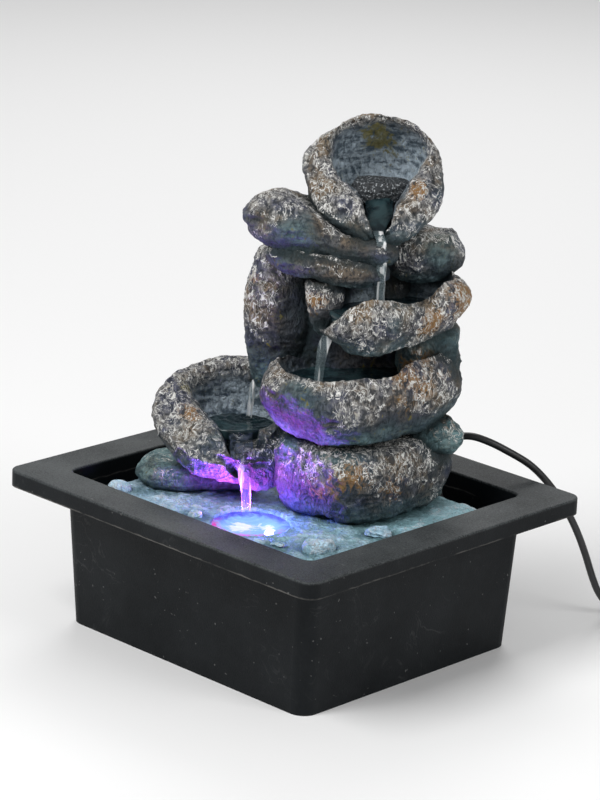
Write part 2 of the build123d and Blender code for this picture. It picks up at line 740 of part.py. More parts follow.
with BuildPart() as pump_case:
    with BuildSketch(pump_face(motor_back)):
        RectangleRounded(pump_width, pump_height, pump_round)
    extrude(amount=motor_length)
    with BuildSketch(pump_face(chamber_back)):
        Circle(chamber_radius + pump_wall)
    extrude(amount=chamber_depth)
    with BuildSketch(Plane(origin=(hose_at[0], hose_at[1], pump_axis))):
        Circle(nozzle_radius)
    extrude(amount=pump_height / 2 + nozzle_rise)
    with BuildSketch(pump_face(motor_back)):
        RectangleRounded(pump_width - 2 * pump_wall, pump_height - 2 * pump_wall, pump_round - pump_wall / 2)
        Circle(rotor_bore + rotor_tube_wall, mode=Mode.SUBTRACT)
    extrude(amount=motor_length - pump_wall, mode=Mode.SUBTRACT)
    with BuildSketch(pump_face(motor_back)):
        Circle(rotor_bore + rotor_tube_wall)
    extrude(amount=rotor_back - motor_back - pump_wall, mode=Mode.SUBTRACT)
    with BuildSketch(pump_face(rotor_back)):
        Circle(rotor_bore)
    extrude(amount=rotor_length, mode=Mode.SUBTRACT)
    with BuildSketch(pump_face(chamber_back)):
        Circle(chamber_radius)
    extrude(amount=chamber_depth, mode=Mode.SUBTRACT)
    with BuildSketch(Plane(origin=(hose_at[0], hose_at[1], pump_axis))):
        Circle(nozzle_bore / 2)
    extrude(amount=pump_height / 2 + nozzle_rise, mode=Mode.SUBTRACT)
    with BuildSketch(Plane(origin=(socket_at[0], socket_at[1], pump_top))):
        Rectangle(lead_plug_length + 2 * pump_wall, lead_plug_width + 2 * pump_wall)
    extrude(amount=-lead_socket_depth - pump_wall)
    with BuildSketch(Plane(origin=(socket_at[0], socket_at[1], pump_top))):
        Rectangle(lead_plug_length + 2 * lamp_fit, lead_plug_width + 2 * lamp_fit)
    extrude(amount=-lead_socket_depth, mode=Mode.SUBTRACT)
pump_case.part.label = "pump_case"
export_step(pump_case.part, "parts/pump_case.step")

core_back = rotor_back + pump_wall
core_half_x = pump_width / 2 - pump_wall - lamp_fit
core_half_z = pump_height / 2 - pump_wall - lead_socket_depth
tube_radius = rotor_bore + rotor_tube_wall
with BuildPart() as stator_core:
    with BuildSketch(pump_face(core_back)):
        Rectangle(2 * core_half_x, 2 * core_half_z)
        Rectangle(2 * (core_half_x - core_yoke), 2 * (core_half_z - core_yoke), mode=Mode.SUBTRACT)
        Rectangle(2 * core_half_x, core_pole_width)
        Circle(tube_radius + lamp_fit, mode=Mode.SUBTRACT)
    extrude(amount=core_length)
stator_core.part.label = "stator_core"
export_step(stator_core.part, "parts/stator_core.step")

coil_middle = core_half_x - core_yoke - lamp_fit - coil_length / 2
with BuildPart() as stator_coils:
    for side in (-1, 1):
        coil_near = hose_at[0] + side * (coil_middle - coil_length / 2)
        coil_foot = (coil_near, core_back + core_length / 2, pump_axis)
        with BuildSketch(Plane(origin=coil_foot, x_dir=(0, side, 0), z_dir=(side, 0, 0))):
            RectangleRounded(core_length + 2 * coil_build, core_pole_width + 2 * coil_build, coil_build)
            Rectangle(core_length + 2 * lamp_fit, core_pole_width + 2 * lamp_fit, mode=Mode.SUBTRACT)
        extrude(amount=coil_length)
stator_coils.part.label = "stator_coils"
export_step(stator_coils.part, "parts/stator_coils.step")

with BuildPart() as pump_potting:
    with BuildSketch(pump_face(motor_back)):
        RectangleRounded(pump_width - 2 * pump_wall, pump_height - 2 * pump_wall, pump_round - pump_wall / 2)
    extrude(amount=potting_depth)
pump_potting.part.label = "pump_potting"
export_step(pump_potting.part, "parts/pump_potting.step")

with BuildPart() as control_board:
    with BuildSketch(pump_face(motor_back + potting_depth)):
        Rectangle(pump_width - 4 * pump_wall, core_pole_width + 2 * coil_build)
    extrude(amount=board_thickness)
control_board.part.label = "control_board"
export_step(control_board.part, "parts/control_board.step")

magnet_back = chamber_back - magnet_length - impeller_plate
with BuildPart() as rotor_magnet:
    with BuildSketch(pump_face(magnet_back)):
        Circle(magnet_radius)
        Circle(shaft_radius + shaft_clearance, mode=Mode.SUBTRACT)
    extrude(amount=magnet_length)
rotor_magnet.part.label = "rotor_magnet"
export_step(rotor_magnet.part, "parts/rotor_magnet.step")

impeller_back = magnet_back + magnet_length
with BuildPart() as impeller:
    with BuildSketch(pump_face(impeller_back)):
        Circle(magnet_radius)
    extrude(amount=2 * impeller_plate)
    with BuildSketch(pump_face(impeller_back + 2 * impeller_plate)):
        Circle(impeller_radius)
    extrude(amount=impeller_plate)
    with BuildSketch(pump_face(impeller_back + 3 * impeller_plate)):
        Circle(hub_radius)
        with PolarLocations(0, impeller_blades):
            with Locations((impeller_radius / 2, 0)):
                Rectangle(impeller_radius - blade_thickness, blade_thickness)
    extrude(amount=blade_height)
    with BuildSketch(pump_face(impeller_back)):
        Circle(shaft_radius + shaft_clearance)
    extrude(amount=3 * impeller_plate + blade_height, mode=Mode.SUBTRACT)
impeller.part.label = "impeller"
export_step(impeller.part, "parts/impeller.step")

shaft_front = chamber_front + cover_thickness
with BuildPart() as shaft_bushes:
    for start in (rotor_back, shaft_front - bush_length):
        with BuildSketch(pump_face(start)):
            Circle(bush_radius)
            Circle(shaft_radius, mode=Mode.SUBTRACT)
        extrude(amount=bush_length)
shaft_bushes.part.label = "shaft_bushes"
export_step(shaft_bushes.part, "parts/shaft_bushes.step")

with BuildPart() as pump_shaft:
    with BuildSketch(pump_face(rotor_back)):
        Circle(shaft_radius)
    extrude(amount=shaft_front - rotor_back)
pump_shaft.part.label = "pump_shaft"
export_step(pump_shaft.part, "parts/pump_shaft.step")

rail_middle = slider_height / 2 + slider_play + rail_width / 2
rail_depth = slider_thickness + 2 * slider_play
with BuildPart() as pump_cover:
    with BuildSketch(pump_face(chamber_front)):
        RectangleRounded(cover_width, cover_height, pump_round)
        Circle(intake_radius, mode=Mode.SUBTRACT)
        Circle(bush_radius + spider_arm)
        with PolarLocations(0, 3):
            with Locations((intake_radius / 2, 0)):
                Rectangle(intake_radius, spider_arm)
        Circle(bush_radius, mode=Mode.SUBTRACT)
    extrude(amount=cover_thickness)
    with BuildSketch(pump_face(shaft_front)):
        with GridLocations(0, 2 * rail_middle, 1, 2):
            Rectangle(cover_width, rail_width)
    extrude(amount=rail_depth)
    with BuildSketch(pump_face(shaft_front + rail_depth)):
        with GridLocations(0, 2 * rail_middle - rail_width, 1, 2):
            Rectangle(cover_width, 2 * rail_width)
    extrude(amount=rail_width)
pump_cover.part.label = "pump_cover"
export_step(pump_cover.part, "parts/pump_cover.step")

slider_middle = slider_travel / 2 + slider_length / 2
with BuildPart() as flow_slider:
    with BuildSketch(pump_face(shaft_front + slider_play)):
        with Locations((slider_middle, 0)):
            Rectangle(slider_length, slider_height)
    extrude(amount=slider_thickness)
    with BuildSketch(pump_face(shaft_front + slider_play + slider_thickness)):
        with Locations((slider_middle, 0)):
            Rectangle(rail_width, slider_height / 2)
    extrude(amount=2 * rail_width)
flow_slider.part.label = "flow_slider"
export_step(flow_slider.part, "parts/flow_slider.step")


def suction_cup():
    """One rubber foot: a bell on the basin's floor and a stem up to the pump."""
    with BuildPart() as cup:
        with BuildSketch(Plane.XZ):
            with BuildLine():
                Polyline((0, floor_top), (cup_radius, floor_top), (cup_stem, pump_bottom - cup_height / 2),
                         (cup_stem, pump_bottom), (0, pump_bottom), close=True)
            make_face()
        revolve(axis=Axis.Z)
    return cup.part


cup_form = suction_cup()
suction_places = [(hose_at[0] + dx, motor_back + motor_length / 2 + dy, 0)
                  for dx in (-pump_width / 3, pump_width / 3) for dy in (-motor_length / 3, motor_length / 3)]
with BuildPart() as suction_cups:
    with Locations(*suction_places):
        add(cup_form)
suction_cups.part.label = "suction_cups"
export_step(suction_cups.part, "parts/suction_cups.step")

gland_at = (hose_at[0] + pump_width / 2, motor_back + motor_length / 3, pump_bottom + pump_height / 3)
gland_face = Plane(origin=gland_at, x_dir=(0, 1, 0), z_dir=(1, 0, 0))
with BuildPart() as cord_gland:
    with BuildSketch(gland_face):
        Circle(gland_flange)
    extrude(amount=pump_wall)
    with BuildSketch(gland_face.offset(pump_wall)):
        Circle(gland_root)
    with BuildSketch(gland_face.offset(gland_length)):
        Circle(gland_tip)
    loft()
cord_gland.part.label = "cord_gland"
export_step(cord_gland.part, "parts/cord_gland.step")


def route_radii(points):
    """An even radius at each corner: a share of the shorter run over the tangent of half the turn."""
    radii = []
    for before, corner, after in zip(points, points[1:], points[2:]):
        first = Vector(*corner) - Vector(*before)
        second = Vector(*after) - Vector(*corner)
        half_turn = math.radians(first.get_angle(second)) / 2
        radii.append(bend_share * min(first.length, second.length) / math.tan(half_turn))
    return radii


def swept_tube(path, radius):
    """A round tube along a path of runs and arcs."""
    with BuildPart() as tube:
        with BuildSketch(Plane(origin=path @ 0, z_dir=path % 0)):
            Circle(radius)
        sweep(path=path)
    return tube.part


# Lead of the lamp, from its boss to a plug that lifts out of the pump's socket
plug_bottom = pump_top - lead_socket_depth
plug_top = plug_bottom + lead_plug_height
with BuildPart() as led_plug:
    with BuildSketch(Plane(origin=(socket_at[0], socket_at[1], plug_bottom))):
        Rectangle(lead_plug_length, lead_plug_width)
    extrude(amount=lead_plug_height)
led_plug.part.label = "led_plug"
export_step(led_plug.part, "parts/led_plug.step")

lead_start = (pool_at[0], pool_at[1] + lamp_radius + lead_boss_length, lead_boss_level)
lead_route = [lead_start, (lead_start[0], lead_start[1] + 7, lead_start[2]), (16.0, -21.0, 54.5),
              (12.5, -12.5, 58.5), (8.5, -4.5, 61.0), (4.5, 3.5, 61.2),
              (socket_at[0], socket_at[1], plug_top + 7), (socket_at[0], socket_at[1], plug_top)]
lead_radii = route_radii(lead_route)
print("lamp lead radii", [round(r, 1) for r in lead_radii])
with BuildLine() as lead_path:
    FilletPolyline(*lead_route, radius=lead_radii)
lead_form = swept_tube(lead_path.wire(), lead_radius)
with BuildPart() as led_lead:
    add(lead_form)
led_lead.part.label = "led_lead"
export_step(led_lead.part, "parts/led_lead.step")

# Power cord: from the gland, up behind the rocks, over the rear rim, down to the table and to its coil
coil_low = tie_thickness + bed_gap + cord_radius
coil_high = coil_low + coil_pitch
cord_start = (gland_at[0] + gland_length, gland_at[1], gland_at[2])
coil_start = (coil_at[0] - coil_outer, coil_at[1] - 2 * cord_radius, coil_low)
cord_route = [cord_start, (cord_start[0] + 10.7, cord_start[1], cord_start[2]), (67.5, 12.8, 21.0),
              (73.0, 20.5, 19.0), (75.0, 31.0, 17.5), (73.0, 42.5, 18.0), (67.5, 53.0, 22.5),
              (59.0, 60.5, 31.0), (49.5, 64.5, 41.5), (41.5, 66.0, 53.5), (35.5, 65.5, 64.5),
              (33.0, 65.0, 75.0), (33.5, 65.5, 86.0), (38.5, 67.5, 95.0), (47.0, 71.5, 98.5),
              (55.5, 78.0, 95.5), (62.0, 86.0, 90.0), (68.0, 94.2, 84.0), (73.5, 101.8, 74.5),
              (78.8, 108.8, 62.5), (82.3, 115.2, 49.5), (84.0, 121.2, 36.0), (84.4, 127.0, 23.0),
              (84.7, 132.5, 13.0), (85.7, 138.8, 6.0), (88.0, 146.0, 2.6), (91.5, 153.5, 1.9),
              (95.2, 160.8, 2.6), (coil_start[0], coil_start[1] - 8.0, coil_low), coil_start]
cord_radii = route_radii(cord_route)
print("cord radii", [round(r, 1) for r in cord_radii])
with BuildLine() as cord_path:
    FilletPolyline(*cord_route, radius=cord_radii)
cord_form = swept_tube(cord_path.wire(), cord_radius)
with BuildPart() as power_cord:
    add(cord_form)
power_cord.part.label = "power_cord"
export_step(power_cord.part, "parts/power_cord.step")
cord_section = math.pi * cord_radius**2
cord_by_volume = power_cord.part.volume / cord_section
print("cord length", round(cord_path.wire().length, 1), "and by volume", round(cord_by_volume, 1))


def coil_point(across, along, level):
    """A point of the coil, measured from its middle: along is the way that the cord comes in."""
    return Vector(coil_at[0] + across, coil_at[1] + along, level)


def half_turn(start, finish, level):
    """A half circle, clockwise from above, between two points on the coil's cross line."""
    radius = abs(finish - start) / 2
    heading = 1 if finish > start else -1
    turning = coil_point((start + finish) / 2, heading * radius, level)
    return ThreePointArc(coil_point(start, 0, level), turning, coil_point(finish, 0, level))


# The coil spirals in on the low layer, climbs in its innermost half turn and spirals out on the high layer
inward = [-coil_outer]
for turn in range(coil_turns):
    inward.append(coil_outer - (turn + 0.5) * coil_pitch)
    inward.append(-coil_outer + (turn + 1) * coil_pitch)
inward[-1] += coil_reversal
climb_reach = math.hypot(inward[-1], coil_pitch / 2)
climb_foot = coil_point(inward[-1], 0, coil_low)
climb_middle = coil_point(0, climb_reach, (coil_low + coil_high) / 2)
climb_head = coil_point(-inward[-1], 0, coil_high)
plug_level = plug_height / 2
tail_start = coil_point(coil_outer, 0, coil_high)
tail_middle = coil_point(coil_outer, -coil_tail / 2, (coil_high + plug_level) / 2)
tail_end = coil_point(coil_outer, -coil_tail, plug_level)
plug_root = coil_point(coil_outer, -coil_tail - 2 * cord_radius, plug_level)
with BuildLine() as coil_path:
    Line(Vector(*coil_start), coil_point(-coil_outer, 0, coil_low))
    for start, finish in zip(inward, inward[1:]):
        half_turn(start, finish, coil_low)
    TangentArc(climb_foot, climb_middle, tangent=(0, 1, 0))
    TangentArc(climb_head, climb_middle, tangent=(0, 1, 0))
    for start, finish in zip(inward[::-1], inward[-2::-1]):
        half_turn(-start, -finish, coil_high)
    TangentArc(tail_start, tail_middle, tangent=(0, -1, 0))
    TangentArc(tail_end, tail_middle, tangent=(0, 1, 0))
    Line(tail_end, plug_root)
coil_wire = coil_path.wire()
coil_form = swept_tube(coil_wire, cord_radius)
with BuildPart() as cord_coil:
    add(coil_form)
cord_coil.part.label = "cord_coil"
export_step(cord_coil.part, "parts/cord_coil.step")
coil_by_volume = cord_coil.part.volume / cord_section
print("coil length", round(coil_wire.length, 1), "and by volume", round(coil_by_volume, 1))

# Least gap of the coil to itself, on close points that lie more than five diameters apart along it
sample_count = int(coil_wire.length / sample_step)
samples = [coil_wire @ (index / sample_count) for index in range(sample_count + 1)]
apart = int(10 * cord_radius / sample_step)
least = min((samples[one] - samples[other]).length
            for one in range(len(samples)) for other in range(one + apart, len(samples)))
print("least gap of the coil to itself", round(least - 2 * cord_radius, 2))

tie_inner = -inward[-1] - cord_radius - tie_slack
tie_outer = coil_outer + cord_radius + tie_slack
tie_under = tie_thickness
tie_over = coil_high + cord_radius + bed_gap
tie_middle = (tie_inner + tie_outer) / 2
tie_level = (tie_under + tie_over) / 2
with BuildPart() as cord_tie:
    with BuildSketch(Plane(origin=coil_point(tie_middle, tie_width / 2, tie_level), x_dir=(1, 0, 0),
                           z_dir=(0, -1, 0))):
        RectangleRounded(tie_outer - tie_inner + 2 * tie_thickness, tie_over - tie_under + 2 * tie_thickness,
                         2 * tie_thickness)
        RectangleRounded(tie_outer - tie_inner, tie_over - tie_under, tie_thickness, mode=Mode.SUBTRACT)
    extrude(amount=tie_width)
cord_tie.part.label = "cord_tie"
export_step(cord_tie.part, "parts/cord_tie.step")

# Plug at the end of the cord, lying beside the coil and pointing to the front
plug_face = Plane(origin=plug_root, x_dir=(1, 0, 0), z_dir=(0, -1, 0))
with BuildPart() as usb_overmould:
    with BuildSketch(plug_face):
        Circle(cord_radius + shell_wall)
    with BuildSketch(plug_face.offset(plug_relief_length)):
        Circle(plug_relief_radius)
    loft()
    with BuildSketch(plug_face.offset(plug_relief_length)):
        RectangleRounded(plug_width, plug_height, plug_round)
    extrude(amount=plug_length)
usb_overmould.part.label = "usb_overmould"
export_step(usb_overmould.part, "parts/usb_overmould.step")

shell_face = plug_face.offset(plug_relief_length + plug_length)
with BuildPart() as usb_shell:
    with BuildSketch(shell_face):
        Rectangle(shell_width, shell_height)
        Rectangle(shell_width - 2 * shell_wall, shell_height - 2 * shell_wall, mode=Mode.SUBTRACT)
    extrude(amount=shell_length)
usb_shell.part.label = "usb_shell"
export_step(usb_shell.part, "parts/usb_shell.step")

with BuildPart() as usb_tongue:
    tongue_drop = shell_height / 2 - shell_wall - tongue_height / 2
    with BuildSketch(shell_face):
        with Locations((0, tongue_drop)):
            Rectangle(shell_width - 2 * shell_wall, tongue_height)
    extrude(amount=tongue_length)
usb_tongue.part.label = "usb_tongue"
export_step(usb_tongue.part, "parts/usb_tongue.step")
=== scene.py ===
"""Tabletop water fountain: a basin, a cascade of cast rock bowls, a lit pool, a pump and its cord."""

import math

import bpy
import numpy as np
from mathutils import Matrix, Vector


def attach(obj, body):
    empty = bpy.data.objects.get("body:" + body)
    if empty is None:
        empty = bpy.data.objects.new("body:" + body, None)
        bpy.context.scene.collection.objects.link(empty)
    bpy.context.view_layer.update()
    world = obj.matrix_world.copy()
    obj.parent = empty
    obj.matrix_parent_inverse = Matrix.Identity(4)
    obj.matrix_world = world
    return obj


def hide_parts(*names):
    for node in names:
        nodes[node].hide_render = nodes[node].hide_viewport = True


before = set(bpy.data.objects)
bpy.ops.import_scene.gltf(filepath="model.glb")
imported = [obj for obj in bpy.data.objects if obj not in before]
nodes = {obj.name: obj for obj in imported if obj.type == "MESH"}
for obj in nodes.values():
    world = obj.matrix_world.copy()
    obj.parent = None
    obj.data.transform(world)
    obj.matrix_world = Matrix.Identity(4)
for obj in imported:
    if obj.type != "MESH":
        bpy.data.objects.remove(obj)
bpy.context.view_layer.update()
scene = bpy.context.scene
MM = 0.001

# Camera, fitted to the photograph's vanishing lines
camera_target = (0.0, 0.0, 123.0)
camera_azimuth = 43.97
camera_elevation = 17.27
camera_roll = 0.0407
camera_distance = 1517.0
focal_pixels = 3190.55
image_height = 800
sensor = 36.0
shift_across = 1.98
shift_up = -9.24

# Levels and places of the frame, in millimetres
deck_top = 72.0
deck_under = 66.0
floor_top = 4.0
base_stone_top = 109.0
middle_bowl_top = 146.0
upper_bowl_seat = 155.0
upper_bowl_top = 184.0
flat_stone_top = 85.0
column_top = 210.0
pool_at = np.array([17.0, -46.0])
pool_radius = 18.5
pool_floor = 62.0
pool_cup_under = 59.0
pool_cup_wall = 3.0
leg_radius = 6.0
leg_places = ((-43.4, -51.2), (60.2, -51.2), (60.2, 33.4), (-43.4, 0.0))
pebble_places = ((-55.5, -61.5, 20, 0.7), (64, -49, 70, 1.0), (48, -59, 10, 0.6), (67, -13, 40, 0.9),
                 (-6, -60, 30, 0.5))
upper_water_level = 170.0
middle_water_level = 135.5
lower_water_level = 106.0
pool_water_level = 70.9
round_corner = 2.3
square_corner = 3.2

# The tower faces a corner of the basin, so most rocks are turned to its diagonal
diagonal_turn = 45.0
diagonal = 0.7071
toward_front = np.array([0.694, -0.72])
beside_front = np.array([0.72, 0.694])


def place_camera():
    """A camera turned by azimuth and elevation about the target, then rolled about its own view."""
    azimuth = math.radians(camera_azimuth)
    elevation = math.radians(camera_elevation)
    back = Vector((math.sin(azimuth) * math.cos(elevation), -math.cos(azimuth) * math.cos(elevation),
                   math.sin(elevation)))
    right = Vector((math.cos(azimuth), math.sin(azimuth), 0))
    up = back.cross(right)
    turned_right = right * math.cos(camera_roll) + up * math.sin(camera_roll)
    turned_up = up * math.cos(camera_roll) - right * math.sin(camera_roll)
    data = bpy.data.cameras.new("camera")
    data.sensor_fit = "AUTO"
    data.sensor_width = sensor
    data.lens = focal_pixels / image_height * sensor
    data.shift_x = shift_across / image_height
    data.shift_y = shift_up / image_height
    data.clip_end = 20
    camera = bpy.data.objects.new("camera", data)
    turn = Matrix((turned_right, turned_up, back)).transposed()
    place = (Vector(camera_target) + back * camera_distance) * MM
    camera.matrix_world = Matrix.Translation(place) @ turn.to_4x4()
    scene.collection.objects.link(camera)
    scene.camera = camera


class Tap:
    """One socket of a shader tree; arithmetic on it adds Math nodes."""

    def __init__(self, paint, socket):
        self.paint = paint
        self.socket = socket

    def math(self, operation, other=None, swap=False):
        pair = (other, self) if swap else (self, other)
        inputs = {index: value for index, value in enumerate(pair) if value is not None}
        return self.paint.node("ShaderNodeMath", {"operation": operation}, inputs)

    def __add__(self, other):
        return self.math("ADD", other)

    __radd__ = __add__

    def __sub__(self, other):
        return self.math("SUBTRACT", other)

    def __rsub__(self, other):
        return self.math("SUBTRACT", other, swap=True)

    def __mul__(self, other):
        return self.math("MULTIPLY", other)

    __rmul__ = __mul__

    def __abs__(self):
        return self.math("ABSOLUTE")

    def most(self, other):
        return self.math("MAXIMUM", other)

    def between(self, low, high):
        """0 below low, 1 above high, with a smooth step between."""
        return self.paint.node("ShaderNodeMapRange", {"interpolation_type": "SMOOTHSTEP"},
                               {"Value": self, "From Min": low, "From Max": high})

    def swing(self, strength):
        """A noise about its middle value, from minus to plus half the strength."""
        return (self - 0.5) * strength

    def line(self, sharpness, core=0.0, middle=0.5):
        """1 where a noise passes its middle value, fading to 0 on either side."""
        return 1 - (abs(self - middle) * sharpness).between(core, 1.0)


class Paint:
    """A material with a Principled shader, and the nodes that feed it."""

    def __init__(self, name, **fixed):
        self.material = bpy.data.materials.new(name)
        self.material.use_nodes = True
        self.tree = self.material.node_tree
        self.shader = next(n for n in self.tree.nodes if n.type == "BSDF_PRINCIPLED")
        for socket, value in fixed.items():
            self.feed(socket.replace("_", " "), value)

    def feed(self, socket, value):
        self.join(self.shader.inputs[socket], value)

    def join(self, socket, value):
        if isinstance(value, Tap):
            self.tree.links.new(value.socket, socket)
        elif isinstance(value, tuple) and len(value) == 3 and socket.type == "RGBA":
            socket.default_value = (*value, 1.0)
        else:
            socket.default_value = value

    def node(self, kind, settings=None, inputs=None, output=0):
        """Any other node: its settings first, then the values or links of its sockets."""
        made = self.tree.nodes.new(kind)
        for key, value in (settings or {}).items():
            setattr(made, key, value)
        for key, value in (inputs or {}).items():
            self.join(made.inputs[key], value)
        return Tap(self, made.outputs[output])

    def place(self):
        return self.node("ShaderNodeTexCoord", output="Object")

    def stretched(self, scale):
        return self.node("ShaderNodeMapping", {}, {"Vector": self.place(), "Scale": scale})

    def noise(self, scale, detail=3.0, roughness=0.55, distortion=0.0, where=None):
        return self.node("ShaderNodeTexNoise", {}, {"Vector": where or self.place(), "Scale": scale, "Detail": detail,
                                                    "Roughness": roughness, "Distortion": distortion})

    def cells(self, scale, feature="F1"):
        return self.node("ShaderNodeTexVoronoi", {"feature": feature}, {"Vector": self.place(), "Scale": scale},
                         output="Distance")

    def waves(self, scale, distortion=0.0):
        return self.node("ShaderNodeTexWave", {"bands_direction": "Y"},
                         {"Vector": self.place(), "Scale": scale, "Distortion": distortion}, output="Fac")

    def attribute(self, name):
        return self.node("ShaderNodeAttribute", {"attribute_name": name}, output="Fac")

    def mix(self, share, first, second):
        return self.node("ShaderNodeMix", {"data_type": "RGBA"}, {0: share, 6: first, 7: second}, output=2)

    def bump(self, height, distance, strength=1.0):
        self.feed("Normal", self.node("ShaderNodeBump", {}, {"Height": height, "Distance": distance,
                                                             "Strength": strength}))


def finish(piece, paint, body, slot, *replaced):
    """Gives a piece its material and its body, and hides the solids that it stands for; the slot is not used."""
    piece.data.materials.clear()
    piece.data.materials.append(paint.material)
    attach(piece, body)
    if replaced:
        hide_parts(*replaced)


def lattice(points, seed):
    """Value noise from -1 to 1: random values on a unit lattice, blended by a smooth step along each axis."""
    cell = np.floor(points).astype(np.int64)
    part = points - cell
    ease = part * part * (3 - 2 * part)
    total = np.zeros(points.shape[:-1])
    for corner in np.ndindex(2, 2, 2):
        at = cell + np.array(corner)
        mixed = (at[..., 0] * 374761393 + at[..., 1] * 668265263 + at[..., 2] * 914744521 + seed * 974711) & 0xFFFFFFFF
        mixed = ((mixed ^ (mixed >> 13)) * 1274126177) & 0xFFFFFFFF
        value = ((mixed ^ (mixed >> 16)) & 0xFFFFFF) / 0x7FFFFF - 1
        weight = np.prod(np.where(np.array(corner) == 1, ease, 1 - ease), axis=-1)
        total += weight * value
    return total


def layered(points, size, seed, octaves=3):
    """Noise layers added up, each half as large and half as strong as the one before."""
    return sum(0.5**k * lattice(points / size * 2**k + 17.3 * k, seed + k) for k in range(octaves))


def angles_round(count):
    """Even steps of a whole turn, without its end."""
    return np.linspace(0, 2 * np.pi, count, endpoint=False)


def rays(angle):
    """Unit steps in plan: the cosine and sine of each angle."""
    return np.stack([np.cos(angle), np.sin(angle)], axis=-1)


def level_ring(flat, level):
    """Points in plan, all at one level."""
    return np.concatenate([flat, np.full((len(flat), 1), level)], axis=1)


def level_plane(at, height, turn=0.0):
    """Origin and axes of a level plane, turned about Z."""
    angle = math.radians(turn)
    along = np.array([math.cos(angle), math.sin(angle), 0])
    up = np.array([0.0, 0, 1])
    return np.array([at[0], at[1], height]), along, np.cross(up, along), up


def faced_plane(at, height):
    """A level plane turned to the basin's diagonal."""
    return level_plane(at, height, diagonal_turn)


def leaning_plane(at, height, tilt, turn=diagonal_turn):
    """A plane whose normal leans by tilt, square to its x axis, which is turned about Z."""
    angle = math.radians(turn)
    lean = math.radians(tilt)
    along = np.array([math.cos(angle), math.sin(angle), 0])
    normal = np.array([math.sin(lean) * math.sin(angle), -math.sin(lean) * math.cos(angle), math.cos(lean)])
    return np.array([at[0], at[1], height]), along, np.cross(normal, along), normal


def dropping_plane(at, height, turn, drop):
    """A plane turned about Z whose x axis then drops by an angle."""
    angle = math.radians(turn)
    down = math.radians(drop)
    along = np.array([math.cos(down) * math.cos(angle), math.cos(down) * math.sin(angle), -math.sin(down)])
    normal = np.array([math.sin(down) * math.cos(angle), math.sin(down) * math.sin(angle), math.cos(down)])
    return np.array([at[0], at[1], height]), along, np.cross(normal, along), normal


def on_plane(plane, flat, level):
    """Points of a plane: origin plus x, y and height along its axes."""
    origin, along, across, normal = plane
    return origin + flat[..., :1] * along + flat[..., 1:] * across + np.asarray(level)[..., None] * normal


def outline(angle, half_x, half_y, corner):
    """A superellipse with three shallow cosine lumps and five shallower ones."""
    across = np.abs(np.cos(angle) / half_x) ** corner
    along = np.abs(np.sin(angle) / half_y) ** corner
    reach = (across + along) ** (-1 / corner)
    reach = reach * (1 + 0.03 * np.cos(3 * angle + 0.6) + 0.02 * np.cos(5 * angle + 2.0))
    return reach[:, None] * rays(angle)


def girth(share, foot, crown, belly):
    """Width along the height: a quarter sine from foot to belly and a quarter cosine from belly to crown."""
    rising = foot + (1 - foot) * np.sin(np.pi / 2 * np.clip(share / belly, 0, 1))
    falling = crown + (1 - crown) * np.cos(np.pi / 2 * np.clip((share - belly) / (1 - belly), 0, 1))
    return np.where(share < belly, rising, falling)


def through_rings(rings, rows):
    """A smooth surface through rings: cubic Hermite runs whose slopes are those of the neighbouring rings."""
    rings = np.asarray(rings)
    steps = np.linalg.norm(np.diff(rings, axis=0), axis=-1).mean(axis=1)
    at = np.concatenate([[0], np.cumsum(steps)])
    slope = np.gradient(rings, at, axis=0)
    wanted = np.linspace(0, at[-1], rows)
    run = np.clip(np.searchsorted(at, wanted, side="right") - 1, 0, len(at) - 2)
    span = (at[run + 1] - at[run])[:, None, None]
    t = ((wanted - at[run]) / (at[run + 1] - at[run]))[:, None, None]
    start, end = rings[run], rings[run + 1]
    return ((1 + 2 * t) * (1 - t) ** 2 * start + t * (1 - t) ** 2 * span * slope[run]
            + t * t * (3 - 2 * t) * end + t * t * (t - 1) * span * slope[run + 1])


def facing(grid):
    """Outward normals of a closed ring grid: the cross product of its two directions."""
    down = np.gradient(grid, axis=0)
    round_ = np.roll(grid, -1, axis=1) - np.roll(grid, 1, axis=1)
    normal = np.cross(round_, down)
    return normal / np.maximum(np.linalg.norm(normal, axis=-1, keepdims=True), 1e-9)


def skin(name, *shells):
    """A mesh of quads over one or more grids of closed rings, with a fan to the middle of each end; each shell comes
    with the values that its material reads."""
    points, faces, values, first = [], [], {}, 0
    for grid, paints in shells:
        rows, columns = grid.shape[:2]
        index = first + np.arange(rows * columns).reshape(rows, columns)
        after = np.roll(index, -1, axis=1)
        low, high = first + rows * columns, first + rows * columns + 1
        faces += np.stack([index[:-1], after[:-1], after[1:], index[1:]], axis=-1).reshape(-1, 4).tolist()
        faces += np.stack([np.full(columns, low), after[0], index[0]], axis=-1).tolist()
        faces += np.stack([np.full(columns, high), index[-1], after[-1]], axis=-1).tolist()
        points += [grid.reshape(-1, 3), grid[:1].mean(axis=1), grid[-1:].mean(axis=1)]
        for key, value in paints.items():
            values.setdefault(key, []).append(np.concatenate([value.ravel(), [value[0].mean(), value[-1].mean()]]))
        first = high + 1
    mesh = bpy.data.meshes.new(name)
    mesh.from_pydata((np.concatenate(points) * MM).tolist(), [], faces)
    mesh.polygons.foreach_set("use_smooth", np.ones(len(mesh.polygons), bool))
    for key, parts in values.items():
        mesh.attributes.new(key, "FLOAT", "POINT").data.foreach_set("value", np.concatenate(parts).astype(np.float32))
    piece = bpy.data.objects.new(name, mesh)
    scene.collection.objects.link(piece)
    return piece
